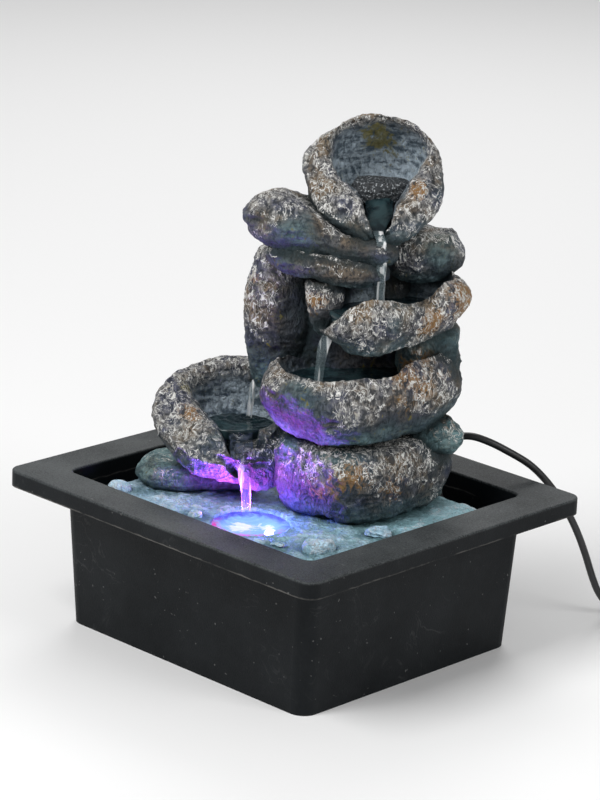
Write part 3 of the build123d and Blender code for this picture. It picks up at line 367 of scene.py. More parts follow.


# Stains, and the painted shade of the recesses: middle, radius and strength, in millimetres
rust_spots = (((64.7, 41.6, 177.0), 9.0, 1.2), ((50.0, -20.0, 99.0), 9.0, 0.35), ((42.0, -26.0, 90.0), 8.0, 0.3),
              ((57.0, 30.0, 141.0), 8.0, 0.8), ((33.0, -10.0, 139.0), 10.0, 0.9), ((52.0, 12.0, 139.0), 12.0, 1.0),
              ((46.0, 26.0, 228.0), 5.5, 1.1), ((6.0, -2.0, 247.0), 6.0, 0.7), ((18.8, -8.0, 173.5), 4.0, 1.3),
              ((62.0, 22.0, 168.0), 7.0, 0.9), ((-32.0, -40.0, 112.0), 6.0, 0.7), ((56.0, -14.0, 98.0), 7.0, 0.4),
              ((-5.0, -12.0, 205.0), 4.0, 0.7), ((66.0, 2.0, 90.0), 9.0, 0.5))
# Painted shade in the recesses of the tower: middle, radius and strength
shaded_recess_spots = (((8.0, 6.0, 168.0), 17.0, 1.3), ((14.0, 2.0, 150.0), 16.0, 1.0), ((30.0, 8.0, 186.0), 12.0, 0.7),
                ((-4.0, 2.0, 135.0), 15.0, 0.9))
teal_spots = (((14.0, -20.0, 108.0), 13.0, 0.9), ((46.0, -18.0, 108.0), 13.0, 0.8), ((61.0, 38.0, 112.0), 13.0, 0.8),
              ((50.0, 40.0, 200.0), 9.0, 0.8), ((10.0, -18.0, 202.0), 10.0, 0.6), ((-30.0, -40.0, 84.0), 16.0, 0.5))
moss_spots = (((9.0, 39.0, 240.0), 7.0, 1.6), ((7.0, 37.0, 249.0), 5.0, 1.2), ((-46.0, -32.0, 118.0), 6.0, 0.9),
              ((66.0, 44.0, 182.0), 6.0, 0.9))


def spotted(points, spots):
    """Soft round stains: a sum of bell curves about the spots."""
    total = np.zeros(points.shape[:-1])
    for middle, radius, strength in spots:
        far = np.linalg.norm(points - np.array(middle), axis=-1) / radius
        total += strength * np.exp(-far**2)
    return total


def carved(grid, seed, depth, inside):
    """Moves a grid along its normals by broad swells, knobs, chisel strokes and grain; also gives how far each part
    stands up."""
    normal = facing(grid)
    broad = layered(grid, 17.0, seed, 2)
    knobs = layered(grid, 7.5, seed + 11, 2)
    strokes = 1 - 2 * np.abs(lattice(grid / np.array([5.5, 5.5, 2.6]) + 0.8 * knobs[..., None], seed + 23))
    grain = layered(grid, 2.3, seed + 31, 2)
    hard = 1 - 0.72 * inside
    lift = depth * (1.35 * broad + hard * (0.62 * knobs + 0.5 * strokes + 0.26 * grain) - 0.7)
    raised = 0.5 + 0.5 * np.tanh(0.9 * knobs + 0.7 * strokes + 0.6 * grain + 0.3 * broad)
    return grid + lift[..., None] * normal, raised


def painted(grid, raised, inside, seed, cream=1.0, teal=0.0, crest=0.0):
    """Paint values of a rock: its tone and dry brush grow with height, with the upward turn of the surface, along a
    crest and in patches, so that undersides come out darker, partly as painted shade under overhangs and partly as the
    dry brush that a cast takes on its upper faces; in the recesses they fade into painted shade; a teal wash lies low
    down, rust and moss are spots, and hollows are wet."""
    upward = facing(grid)[..., 2]
    low, high = grid[..., 2].min(), grid[..., 2].max()
    height = np.clip((grid[..., 2] - low) / max(high - low, 1), 0, 1)
    patch = np.clip(0.9 * layered(grid, 19.0, seed + 41, 2), -1, 1)
    outside = 1 - inside
    # Painted shade: tone, dry brush and relief are darkened in the recesses
    unshaded = 1 - np.clip(spotted(grid, shaded_recess_spots), 0, 1)
    # Tone and dry brush grow with the upward turn of the surface: undersides come out darker, partly painted shade
    # under overhangs and partly the dry brush of a real cast
    tone = np.clip(0.02 + 0.75 * height + 0.25 * upward + 0.5 * patch + 0.6 * crest, 0, 1) * outside * unshaded
    brush = np.clip(0.8 * height - 0.05 + 0.2 * upward + 0.65 * patch + 0.4 * (raised - 0.5) + crest, 0, 1) * unshaded
    wash = np.clip(teal + 0.75 * np.clip(1 - 2.8 * height, 0, 1) + 0.6 * np.clip(-0.25 - patch, 0, 1)
                   + spotted(grid, teal_spots), 0, 1)
    rust = np.clip(spotted(grid, rust_spots) + 0.7 * np.clip(patch - 0.45, 0, 1) * height, 0, 1)
    return {"tone": tone, "brush": brush * cream * (1 - 0.85 * inside), "wash": wash * outside, "rust": rust * outside,
            "moss": np.clip(spotted(grid, moss_spots), 0, 1), "wet": inside,
            "raised": raised * (0.35 + 0.65 * unshaded)}


rounded_end = np.array([0.15, 0.7, 0.93])


def stone(seed, plane, length, depth, height, foot=0.8, crown=0.7, belly=0.5, corner=round_corner, rough=1.0,
          cream=1.0, teal=0.0, rows=110, columns=220):
    """A rock: superellipse rings whose width follows the girth curve, with rounded ends, carved and painted."""
    edge = outline(angles_round(columns), length / 2, depth / 2, corner)
    shares = np.array([0, 0, 0.02, 0.08, 0.2, 0.36, 0.52, 0.68, 0.82, 0.93, 0.985, 1, 1])
    widths = girth(shares, foot, crown, belly)
    widths[[0, 1, 2]] = rounded_end * foot
    widths[[-1, -2, -3]] = rounded_end * crown
    rings = [on_plane(plane, edge * width, np.full(columns, share * height)) for share, width in zip(shares, widths)]
    grid = through_rings(rings, rows)
    outside = np.zeros(grid.shape[:2])
    grid, raised = carved(grid, seed, rough, outside)
    return grid, painted(grid, raised, outside, seed, cream, teal)


def pressed(shell, plane, height, at, reach, depth):
    """A rock with a hollow in its top: the points sink by a bell curve of their distance from a place in plan, times
    their share of the rock's height."""
    grid, values = shell
    share = np.clip((grid - plane[0]) @ plane[3] / height, 0, 1)
    away = np.linalg.norm(grid[..., :2] - np.array(at), axis=-1)
    sunk = grid.copy()
    sunk[..., 2] -= depth * np.exp(-((away / reach) ** 2)) * share
    return sunk, values


bowl_angle = angles_round(300)
bowl_rows = 200


def round_table(stops, blur):
    """Values between stops round a circle, averaged over blur degrees either side."""
    stops = sorted((turn % 360, value) for turn, value in stops)
    turns, values = np.array(stops).T
    steps = np.linspace(-blur, blur, 7)
    return np.mean([np.interp(np.degrees(bowl_angle) + step, turns, values, period=360) for step in steps], axis=0)


def oval(length, depth, corner=square_corner):
    return outline(bowl_angle, length / 2, depth / 2, corner)


def star(stops, at=(0.0, 0.0), blur=9.0):
    """An outline whose distance from a middle follows a table of angles."""
    return np.array(at) + round_table(stops, blur)[:, None] * rays(bowl_angle)


def bowl(seed, plane, height, floor, outer, inner, rim=((0, 0.0),), spout=(0.0, 0.0, 10.0), foot=0.68, crown=0.86,
         belly=0.62, lips=2.5, bright=0.0):
    """A rock bowl: rings up the outer wall, over a rounded rim and down the hollow; the rim's height follows a table of
    angles, with a dip of a bell curve at the spout."""
    wall_end, crest_ring, rim_end, hollow_ring = 9, 11, 13, 16
    heading, dip, wide = spout
    away = (np.degrees(bowl_angle) - heading + 180) % 360 - 180
    lift = round_table(rim, 6.0) - dip * np.exp(-((away / wide) ** 2))
    shares = np.array([0, 0, 0.02, 0.08, 0.2, 0.36, 0.52, 0.68, 0.8, 0.9])
    widths = girth(shares, foot, crown, belly)
    widths[[0, 1, 2]] = rounded_end * foot
    rings = [on_plane(plane, outer * w, share * height + lift * share**2) for share, w in zip(shares, widths)]
    for across, drop in ((0.12, 0.55), (0.32, 0.12), (0.55, 0.0), (0.78, 0.2), (0.95, 0.75)):
        rings.append(on_plane(plane, outer * crown * (1 - across) + inner * across, height + lift - drop * lips))
    middle = inner.mean(axis=0)
    below = np.array([0.82, 0.62, 0.42, 0.24, 0.1, 0.02, 0, 0])
    narrow = np.array([0.97, 0.92, 0.85, 0.75, 0.62, 0.46, 0.3, 0.05])
    for share, width in zip(below, narrow):
        level = floor + share * (height + lift - lips - floor)
        rings.append(on_plane(plane, middle + (inner - middle) * width, level))
    grid = through_rings(rings, bowl_rows)
    steps = np.linalg.norm(np.diff(np.asarray(rings), axis=0), axis=-1).mean(axis=1)
    reached = np.concatenate([[0], np.cumsum(steps)]) / steps.sum()
    along = np.repeat(np.linspace(0, 1, bowl_rows)[:, None], len(bowl_angle), axis=1)
    inside = np.clip((along - reached[rim_end]) / (reached[hollow_ring] - reached[rim_end]), 0, 1)
    crest = bright + 0.45 * np.exp(-(((along - reached[crest_ring]) / (reached[rim_end] - reached[wall_end])) ** 2))
    grid, raised = carved(grid, seed, 1.0, inside)
    return grid, painted(grid, raised, inside, seed, crest=crest)


def rock_paint():
    """Cast rock: grey over slate, a blue cloud, a teal wash low down and dark teal painted shade where rocks come near
    each other, rust, moss and streaked wet hollows; dry brush takes on what stands up in a rough noise, with whiter
    strokes along a second one."""
    paint = Paint("painted_rock", Specular_IOR_Level=0.4)
    crevice = (0.014, 0.019, 0.026)
    painted_on = ("tone", "brush", "wash", "rust", "moss", "wet", "raised", "contact_shade")
    tone, brush, wash, rust, moss, wet, raised, contact_shade = (paint.attribute(name) for name in painted_on)
    cloud = paint.noise(65.0, 4.0, 0.6)
    grain = paint.noise(1100.0, 3.0, 0.6)
    rough = paint.noise(400.0, 5.0, 0.66, 0.6, where=paint.stretched((1.0, 1.0, 0.7)))
    ridge = paint.noise(200.0, 2.5, 0.55, 0.9, where=paint.stretched((1.0, 1.0, 0.6)))
    streak = paint.noise(120.0, 4.0, 0.6, 0.4, where=paint.stretched((0.6, 0.6, 2.6)))
    blot = paint.noise(150.0, 3.0, 0.6, 0.6)
    scratch = paint.noise(310.0, 2.0, 0.5, 0.9, where=paint.stretched((1.0, 1.0, 0.45)))
    lines = ridge.line(40.0, 0.2).most(scratch.line(50.0, 0.2))
    stroke = lines * (blot * 0.6 + rough * 0.4).between(0.42, 0.52)
    colour = paint.mix((tone + cloud.swing(0.9)).between(0.05, 0.8), (0.046, 0.058, 0.078), (0.215, 0.21, 0.205))
    colour = paint.mix(cloud.between(0.50, 0.64) * 0.7, colour, (0.062, 0.075, 0.15))
    colour = paint.mix((1 - cloud).between(0.48, 0.62) * tone * 0.8, colour, (0.29, 0.19, 0.085))
    # The low parts of the relief turn dark; in the recesses, where raised is lowered, this darkening is painted shade
    colour = paint.mix((0.52 - raised + rough.swing(2.0)).between(0.0, 0.42) * 0.5, colour, crevice)
    colour = paint.mix((0.5 - rough).between(0.01, 0.08) * 0.8, colour, crevice)
    teal = paint.mix((streak + rough - 0.5).between(0.35, 0.7), (0.055, 0.115, 0.13), (0.24, 0.40, 0.42))
    colour = paint.mix(wash * (0.55 + cloud).between(0.45, 1.2), colour, teal)
    stain = (rust * 1.6 + rough.swing(4.0) + blot.swing(1.5)).between(0.35, 0.85) * rust.between(0.04, 0.25)
    colour = paint.mix(stain * 0.85, colour, paint.mix(blot, (0.17, 0.085, 0.03), (0.52, 0.28, 0.085)))
    hollow = paint.mix((streak + rough - 0.5).between(0.32, 0.68), (0.09, 0.13, 0.165), (0.60, 0.71, 0.80))
    colour = paint.mix(wet * 0.92, colour, hollow)
    growth = (moss + blot.swing(1.6) + rough.swing(4.0)).between(0.4, 0.95)
    colour = paint.mix(growth * 0.8, colour, (0.25, 0.21, 0.02))
    # Painted shade where a rock comes near its neighbours and the deck
    colour = paint.mix((contact_shade * 1.1 + rough.swing(2.0)).between(0.2, 0.95) * 0.85, colour, (0.011, 0.025, 0.029))
    zone = (brush - contact_shade * 0.4 + cloud.swing(0.8) + streak.swing(0.6) + blot.swing(0.5)).between(0.25, 0.85)
    taken = rough + zone * 0.075
    dry = taken.between(0.555, 0.70) * zone.between(0.0, 0.15)
    white = (stroke * (zone + 0.08) * (0.7 + grain * 0.8)).between(0.15, 0.5)
    cream = paint.mix(taken.between(0.6, 0.69), (0.235, 0.232, 0.228), (0.62, 0.61, 0.585))
    colour = paint.mix(dry * 0.72, colour, cream)
    colour = paint.mix(white * 0.95, colour, (0.98, 0.97, 0.94))
    paint.feed("Base Color", colour)
    paint.feed("Roughness", 0.55 - wet * 0.3 + dry * 0.2 + grain * 0.1)
    paint.bump(rough * 2.2 + ridge * 1.8 + scratch * 1.4 + stroke * 0.3 + grain * 0.1, 0.0016, 0.95)
    return paint


def basin_paint():
    """Moulded charcoal plastic: fine grain, a paler rim, dust specks, scuffs and a pale ragged line under the skirt."""
    paint = Paint("moulded_basin", Specular_IOR_Level=0.15)
    height = paint.node("ShaderNodeSeparateXYZ", {}, {0: paint.place()}, output=2)
    grain = paint.noise(1400.0, 2.0)
    haze = paint.noise(22.0, 6.0, 0.68)
    speck = paint.noise(420.0, 1.0).between(0.74, 0.80)
    scuff = paint.noise(38.0, 3.0, 0.6, 1.2).line(60.0) * haze.between(0.5, 0.72)
    rim = height.between(0.0755, 0.0768)
    ragged = height + paint.noise(160.0, 3.0).swing(0.0016)
    flash = ragged.line(1600.0, middle=0.0690) * haze.between(0.35, 0.6)
    colour = paint.mix(haze.between(0.3, 0.75), (0.0028, 0.0042, 0.0054), (0.0085, 0.0106, 0.0125))
    colour = paint.mix(rim * (0.3 + haze + grain.swing(1.5)).between(0.2, 1.3), colour, (0.085, 0.093, 0.096))
    colour = paint.mix(speck * 0.4, colour, (0.2, 0.2, 0.2))
    colour = paint.mix(scuff * 0.12, colour, (0.2, 0.2, 0.2))
    colour = paint.mix(flash * 0.5, colour, (0.2, 0.19, 0.175))
    paint.feed("Base Color", colour)
    paint.feed("Roughness", 0.5 + grain * 0.14 - haze * 0.08)
    paint.bump(grain + speck * 0.6, 0.00018, 0.6)
    return paint


def deck_paint():
    """Cast deck: blue grey with darker and teal patches, grit, painted shade near the rocks and pebbles and over its
    front, and pale specks on what stands up.
    """
    paint = Paint("cast_deck", Specular_IOR_Level=0.4)
    raised, wash, contact_shade = (paint.attribute(name) for name in ("raised", "wash", "contact_shade"))
    cloud = paint.noise(48.0, 4.0, 0.6)
    grit = paint.noise(620.0, 3.0, 0.65)
    coarse = paint.noise(260.0, 3.0, 0.6, 0.8)
    thread = coarse.line(18.0)
    colour = paint.mix((raised * 0.8 + cloud.swing(1.1)).between(0.1, 0.9), (0.31, 0.49, 0.62), (0.60, 0.82, 1.0))
    colour = paint.mix(wash * 0.75, colour, (0.27, 0.49, 0.53))
    colour = paint.mix(grit.between(0.53, 0.68) * 0.58, colour, (0.06, 0.09, 0.105))
    # Painted shade near the rocks and pebbles and over the front of the deck
    colour = paint.mix((contact_shade + (coarse - 0.5)).between(0.15, 0.95) * 0.7, colour, (0.03, 0.085, 0.09))
    pale = (raised * 0.9 + thread * 0.6 + grit.swing(1.2) - contact_shade).between(0.62, 1.15)
    colour = paint.mix(pale * 0.75, colour, (0.66, 0.72, 0.77))
    paint.feed("Base Color", colour)
    paint.feed("Roughness", 0.5 + grit * 0.2)
    paint.bump(grit * 0.9 + thread * 0.3 + coarse * 1.2, 0.0014, 0.95)
    return paint


def foam_paint():
    """Black open foam: pores as dark cells, and pale specks on the cell walls, for lime and, as painted glints, for
    wet.
    """
    paint = Paint("open_foam")
    pores = paint.cells(520.0)
    speck = paint.noise(900.0, 2.0, 0.6).between(0.56, 0.66)
    colour = paint.mix(pores.between(0.1, 0.5), (0.004, 0.005, 0.006), (0.028, 0.032, 0.036))
    # Pale specks: lime, and painted glints of wet
    colour = paint.mix(speck * 0.8, colour, (0.42, 0.45, 0.47))
    paint.feed("Base Color", colour)
    paint.feed("Roughness", 0.7 - speck * 0.3)
    paint.bump(pores, 0.0009, 0.9)
    return paint


def still_water():
    """Dark standing water: a deep teal with a slow cloud, glossy, with small ripples."""
    paint = Paint("standing_water", IOR=1.33, Specular_IOR_Level=0.6)
    cloud = paint.noise(80.0, 3.0, 0.5, 0.8)
    colour = paint.mix(cloud.between(0.4, 0.65), (0.006, 0.014, 0.018), (0.026, 0.052, 0.058))
    paint.feed("Base Color", colour)
    paint.feed("Roughness", 0.04 + cloud * 0.05)
    paint.bump(paint.noise(140.0, 2.0, 0.4, 1.0), 0.0012, 0.5)
    return paint


def falling_water(name, sheen_share):
    """Falling water: clear and glossy, with lengthwise ripples and white strands that are painted highlights, as dense
    as asked.
    """
    paint = Paint(name, IOR=1.33, Specular_IOR_Level=0.8)
    ripple = paint.noise(420.0, 2.0, 0.5, 0.3, where=paint.stretched((1.0, 1.0, 0.12)))
    # White strands of painted highlight along the ripples
    highlight_strand = ripple.between(0.5, 0.62)
    paint.feed("Base Color", paint.mix(highlight_strand, (0.45, 0.58, 0.62), (1.0, 1.0, 1.0)))
    paint.feed("Alpha", 0.2 * sheen_share + highlight_strand * sheen_share)
    paint.feed("Roughness", 0.03 + ripple * 0.06)
    paint.bump(ripple, 0.002, 0.8)
    return paint


def water_film():
    """A film of running water: dark, glossy and half clear, with ripples across its run."""
    paint = Paint("water_film", IOR=1.33, Specular_IOR_Level=0.8)
    ripple = paint.noise(230.0, 3.0, 0.5, 0.6)
    paint.feed("Base Color", paint.mix(ripple.between(0.42, 0.6), (0.012, 0.022, 0.032), (0.07, 0.09, 0.13)))
    paint.feed("Alpha", 0.3 + ripple.between(0.45, 0.6) * 0.3)
    paint.feed("Roughness", 0.04 + ripple * 0.06)
    paint.bump(ripple, 0.0015, 0.7)
    return paint


def lit_water():
    """Water over the lamp, its light painted in as a glow: a white core, pale blue, then blue, violet and a little
    magenta towards the rim.
    """
    paint = Paint("lit_water", Base_Color=(0.02, 0.03, 0.08), Emission_Strength=0.9, IOR=1.33)
    near, glow = paint.attribute("near"), paint.attribute("glow")
    swirl = paint.noise(95.0, 3.0, 0.55, 1.6)
    fleck = paint.noise(330.0, 3.0, 0.6, 0.8)
    colour = paint.mix((near + swirl.swing(0.9)).between(0.2, 0.8), (0.10, 0.10, 0.85), (0.30, 0.58, 1.0))
    colour = paint.mix((glow + swirl.swing(1.6) + fleck.swing(0.8)).between(0.5, 0.85), colour, (0.86, 0.95, 1.0))
    colour = paint.mix(paint.attribute("painted_rim_glow") * fleck.between(0.3, 0.6), colour, (0.85, 0.06, 0.42))
    # Painted light: the lamp's glow in the water is given as its emission colour
    paint.feed("Emission Color", colour)
    paint.feed("Roughness", 0.06 + fleck * 0.08)
    paint.bump(swirl + fleck * 0.4, 0.0012, 0.5)
    return paint


def wound_copper():
    """Enamelled copper: fine turns across the bobbin and a warm gloss."""
    paint = Paint("wound_copper", Metallic=0.9, Coat_Weight=0.4)
    wire = paint.waves(900.0, 0.6)
    paint.feed("Base Color", paint.mix(wire, (0.28, 0.09, 0.03), (0.62, 0.27, 0.11)))
    paint.feed("Roughness", 0.3 + wire * 0.15)
    paint.bump(wire, 0.00015, 0.8)
    return paint


def stacked_steel():
    """Stamped steel sheets in a stack: fine lines along the stack and a film of varnish."""
    paint = Paint("stacked_steel", Metallic=0.85)
    sheets = paint.waves(640.0)
    cloud = paint.noise(150.0, 3.0)
    paint.feed("Base Color", paint.mix(sheets * 0.7 + cloud * 0.3, (0.06, 0.063, 0.07), (0.26, 0.265, 0.28)))
    paint.feed("Roughness", 0.35 + cloud * 0.2)
    paint.bump(sheets, 0.0002, 0.7)
    return paint


def circuit_board(name, mask, copper):
    """Circuit board: a solder mask with traces, the edges of large cells, and speckled pads."""
    paint = Paint(name, Coat_Weight=0.3)
    trace = 1 - (paint.cells(240.0, "DISTANCE_TO_EDGE") * 14.0).between(0.2, 0.5)
    pad = 1 - paint.cells(310.0).between(0.1, 0.16)
    paint.feed("Base Color", paint.mix(pad * 0.8, paint.mix(trace * 0.5, mask, copper), (0.55, 0.55, 0.5)))
    paint.feed("Roughness", 0.36 + trace * 0.08 - pad * 0.1)
    paint.bump(trace + pad, 0.00008, 0.6)
    return paint


def lit_lens():
    """Lamp lens: a clear cover that glows from within, brighter in its middle."""
    paint = Paint("lit_lens", Base_Color=(0.5, 0.55, 0.7), Roughness=0.12, Emission_Strength=1.5)
    cloud = paint.noise(260.0, 3.0)
    paint.feed("Emission Color", paint.mix(cloud.between(0.35, 0.65), (0.35, 0.45, 1.0), (0.8, 0.9, 1.0)))
    paint.bump(cloud, 0.0002, 0.4)
    return paint


def plain_paint(name, colour, roughness, metallic=0.0, grain_scale=700.0, spread=0.15, bump=0.0001, **fixed):
    """One finish with a little cloud in its colour and roughness, and a fine grain."""
    paint = Paint(name, Metallic=metallic, **fixed)
    cloud = paint.noise(grain_scale / 8, 3.0)
    grain = paint.noise(grain_scale, 2.0)
    dark = tuple(c * (1 - spread) for c in colour)
    pale = tuple(min(1.0, c * (1 + spread)) for c in colour)
    paint.feed("Base Color", paint.mix(cloud.between(0.3, 0.7), dark, pale))
    paint.feed("Roughness", roughness - 0.06 + cloud * 0.12)
    paint.bump(grain, bump, 0.6)
    return paint


place_camera()

# Power cord: the route of the solid, in millimetres, then the turns of its put-away coil
cord_diameter = 3.6
cord_exit = (48.8, 9.467, 22.0)
cord_route = (cord_exit, (59.5, 9.467, 22.0), (67.5, 12.8, 21.0), (73.0, 20.5, 19.0), (75.0, 31.0, 17.5),
              (73.0, 42.5, 18.0), (67.5, 53.0, 22.5), (59.0, 60.5, 31.0), (49.5, 64.5, 41.5), (41.5, 66.0, 53.5),
              (35.5, 65.5, 64.5), (33.0, 65.0, 75.0), (33.5, 65.5, 86.0), (38.5, 67.5, 95.0), (47.0, 71.5, 98.5),
              (55.5, 78.0, 95.5), (62.0, 86.0, 90.0), (68.0, 94.2, 84.0), (73.5, 101.8, 74.5), (78.8, 108.8, 62.5),
              (82.3, 115.2, 49.5), (84.0, 121.2, 36.0), (84.4, 127.0, 23.0), (84.7, 132.5, 13.0), (85.7, 138.8, 6.0),
              (88.0, 146.0, 2.6), (91.5, 153.5, 1.9), (95.2, 160.8, 2.6), (97.0, 169.4, 3.1), (97.0, 177.4, 3.1))
coil_middle = np.array([126.0, 181.0])
coil_outer = 29.0
coil_pitch = 4.15
coil_turns = 4
coil_low = 3.1
coil_high = 7.25
plug_level = 4.2
plug_x = 155.0
plug_root = (plug_x, 153.4, plug_level)


def coil_points():
    """Turns that spiral in on the low layer and out on the high one, 16 points each: the radius changes with the
    angle, clockwise from above, and the level rises through the innermost half turn."""
    inward = np.arange(0, coil_turns, 1 / 16)
    radius_in = coil_outer - coil_pitch * inward
    radius_least = coil_outer - coil_pitch * coil_turns + 0.75
    climb = np.arange(0, 0.5, 1 / 16)
    outward = np.arange(0, coil_turns + 1e-6, 1 / 16)
    radius_out = radius_least + (coil_outer - radius_least) * outward / coil_turns
    turn = np.concatenate([inward, coil_turns + climb, coil_turns + 0.5 + outward])
    radius = np.concatenate([radius_in, np.full(len(climb), radius_least), radius_out])
    level = np.concatenate([np.full(len(inward), coil_low), coil_low + (coil_high - coil_low) * climb / 0.5,
                            np.full(len(outward), coil_high)])
    angle = np.pi - 2 * np.pi * turn
    return np.stack([coil_middle[0] + radius * np.cos(angle), coil_middle[1] + radius * np.sin(angle), level], axis=-1)


def power_cord(paint):
    """One open NURBS spline through the route, the coil's turns and the tail to the plug, with a round bevel."""
    tail = np.array([(plug_x, 175.0, 6.6), (plug_x, 169.0, 5.7), (plug_x, 163.0, 4.8), (plug_x, 157.0, plug_level),
                     plug_root])
    points = np.concatenate([np.array(cord_route), coil_points(), tail])
    curve = bpy.data.curves.new("power_cord", "CURVE")
    curve.dimensions = "3D"
    curve.bevel_depth = cord_diameter / 2 * MM
    curve.bevel_resolution = 5
    curve.use_fill_caps = True
    spline = curve.splines.new("NURBS")
    spline.points.add(len(points) - 1)
    spline.points.foreach_set("co", np.concatenate([points * MM, np.ones((len(points), 1))], axis=1).ravel())
    spline.order_u = 3
    spline.use_endpoint_u = True
    spline.resolution_u = 6
    spline.use_smooth = True
    piece = bpy.data.objects.new("free_cord", curve)
    scene.collection.objects.link(piece)
    finish(piece, paint, "base", "cord_sheath", "power_cord", "cord_coil")


cord_finish = plain_paint("satin_cord", (0.014, 0.0145, 0.0155), 0.38, grain_scale=900.0)
power_cord(cord_finish)

# Rocks
bowl_turn = -12
upper_bowl_tilt = 8
painted_rock = rock_paint()
# Spacing and reach of the painted shade where neighbouring pieces meet
shade_step = 6
shade_reach = 5.5
rocks = []


def cast(name, shell, *replaced):
    """Puts one rock by, with the solid that it stands for, until its neighbours are known."""
    rocks.append((name, shell, replaced))


def thinned(grid):
    return grid[::shade_step, ::shade_step].reshape(-1, 3).astype(np.float32)


def spread(values, rows, columns):
    """Values of every sixth row and column, with straight lines between them; the columns run round."""
    last = len(values) - 1
    at = np.minimum(np.arange(rows) / shade_step, last)
    low = np.floor(at).astype(int)
    part = (at - low)[:, None]
    values = values[low] * (1 - part) + values[np.minimum(low + 1, last)] * part
    at = np.arange(columns) / shade_step
    low = np.floor(at).astype(int)
    return values[:, low] * (1 - (at - low)) + values[:, (low + 1) % values.shape[1]] * (at - low)


def contact_shade_of(grid, others):
    """How near a grid comes to others, painted as shade where parts meet: a bell curve of the least distance between
    the thinned points of both.
    """
    some = thinned(grid)
    squares = (some**2).sum(axis=1)[:, None] + (others**2).sum(axis=1) - 2 * some @ others.T
    near = np.exp(-np.maximum(squares.min(axis=1), 0) / shade_reach**2)
    return spread(near.reshape(grid[::shade_step, ::shade_step].shape[:2]), *grid.shape[:2])


cast("trunk", stone(3, faced_plane((6, 29), deck_top), 52, 35, 138, foot=0.95, crown=0.85, corner=square_corner,
                    rough=1.1, cream=0.7, rows=220), "column")
cast("foot_rock", stone(7, level_plane((31, 15), deck_top), 64, 86, 37, foot=0.86, crown=0.88, belly=0.64,
                        corner=square_corner, rough=1.1, rows=130, columns=300), "base_stone")
middle_rim = ((-160, -1), (-140, -2), (-120, -2), (-110, -0.6), (-100, -3.8), (-80, -3.1), (-60, -3.1), (-40, -3.5),
              (-20, -2.6), (0, -1.1), (10, 1), (20, 2.4), (30, 3.2), (50, 4.1), (70, 4), (120, 2))
middle_plane = level_plane((31, 11), base_stone_top, bowl_turn)
middle_hollow = oval(50, 78)
cast("second_bowl", bowl(13, middle_plane, 37, 13, oval(66, 94), middle_hollow, rim=middle_rim, spout=(-146, 4, 10),
                         foot=0.74, belly=0.56), "middle_bowl")
cast("side_rock", stone(17, faced_plane((46.5, 38.5), middle_bowl_top - 12), 31, 30, 26, foot=0.9, crown=0.92,
                        teal=0.7, cream=0.6), "side_stone")
level, tilt = level_plane((41, 19.5), upper_bowl_seat, bowl_turn), math.radians(upper_bowl_tilt)
upper_plane = (level[0], level[1], level[2] * math.cos(tilt) + level[3] * math.sin(tilt),
               level[3] * math.cos(tilt) - level[2] * math.sin(tilt))
upper_rim = ((-60, 0), (-50, 0.4), (-40, -0.8), (-30, -2.5), (-20, -4.1), (-10, -5.3), (0, -5.6), (20, -6.2),
             (30, -5.3), (40, -4.3), (50, -0.7), (60, -1.9), (70, -3.8), (90, -1), (180, 0), (-170, -1), (-150, -6),
             (-130, -15), (-120, -20), (-110, -21), (-100, -18), (-90, -13), (-80, -7.7), (-70, -2.7))
upper_end = round_table(((-160, 1), (-125, 0.86), (-100, 0.84), (-75, 0.97), (-50, 1), (60, 1)), 8.0)[:, None]
upper_hollow = oval(34, 66)
cast("third_bowl", bowl(19, upper_plane, 29, 9, oval(48, 80) * upper_end, upper_hollow * upper_end, rim=upper_rim,
                        crown=0.84, bright=0.4), "upper_bowl")
cast("ledge_rock", stone(23, faced_plane((56, 36), base_stone_top - 9), 26, 22, 18, foot=0.6, crown=0.5, teal=0.75,
                         cream=0.6), "ledge_stone")
cast("flat_rock", stone(29, faced_plane((-41.5, -25), deck_top), 60, 42, 13, foot=0.9, crown=0.75, belly=0.4,
                        teal=0.95, cream=0.45, rough=0.7), "flat_stone")
lower_outer = star(((173, 34.6), (150, 35.8), (119, 36), (80, 38.5), (66, 39.5), (30, 37), (0, 35), (-30, 35),
                    (-56, 36.5), (-75, 37.5), (-90, 36.5), (-105, 35), (-123, 32.5), (-159, 32.5)))
lower_inner = star(((154, 26.4), (178, 19.5), (200, 17.2), (225, 17), (243, 20), (257, 25), (264, 33), (270, 37),
                    (276, 36), (281, 25), (302, 16), (332, 18), (0, 20), (30, 20.5), (60, 19.6), (93, 19.1), (127, 22)),
                   at=(8, 6), blur=3.0)
cast("first_bowl", bowl(31, leaning_plane((-34, -15.5), flat_stone_top + 3, 30), 31, 7.5, lower_outer, lower_inner,
                        spout=(-76, 10, 8), foot=0.5, crown=0.9, belly=0.7, lips=6.0), "lower_bowl")
cast("spout_rock", stone(33, faced_plane((-1, -24), 80.5), 28, 20, 21, foot=0.6, crown=0.7, belly=0.55))
cast("pillar_rock", stone(37, faced_plane((-17, 2), base_stone_top + 12), 35, 29, 70, foot=0.55, crown=0.62,
                          rows=150), "pillar_stone")
cast("wedge_rock", stone(41, faced_plane((18, -4), upper_bowl_seat), 19, 17, 28, foot=0.25, crown=0.95, belly=0.8,
                         rough=0.6), "wedge_stone")
cast("right_slab_rock", stone(43, faced_plane((34.5, 43.5), upper_bowl_top - 5), 42, 34, 25, foot=0.62, crown=0.72,
                              cream=0.85), "right_slab")
left_plane, left_thickness = dropping_plane((9, -2.5), column_top - 17.5, 35, 12), 25
left_stone = stone(147, left_plane, 75, 36, left_thickness, foot=0.72, crown=0.74, corner=2.7, columns=260)
cast("left_slab_rock", pressed(left_stone, left_plane, left_thickness, at=(25, 6), reach=17, depth=11), "left_slab")
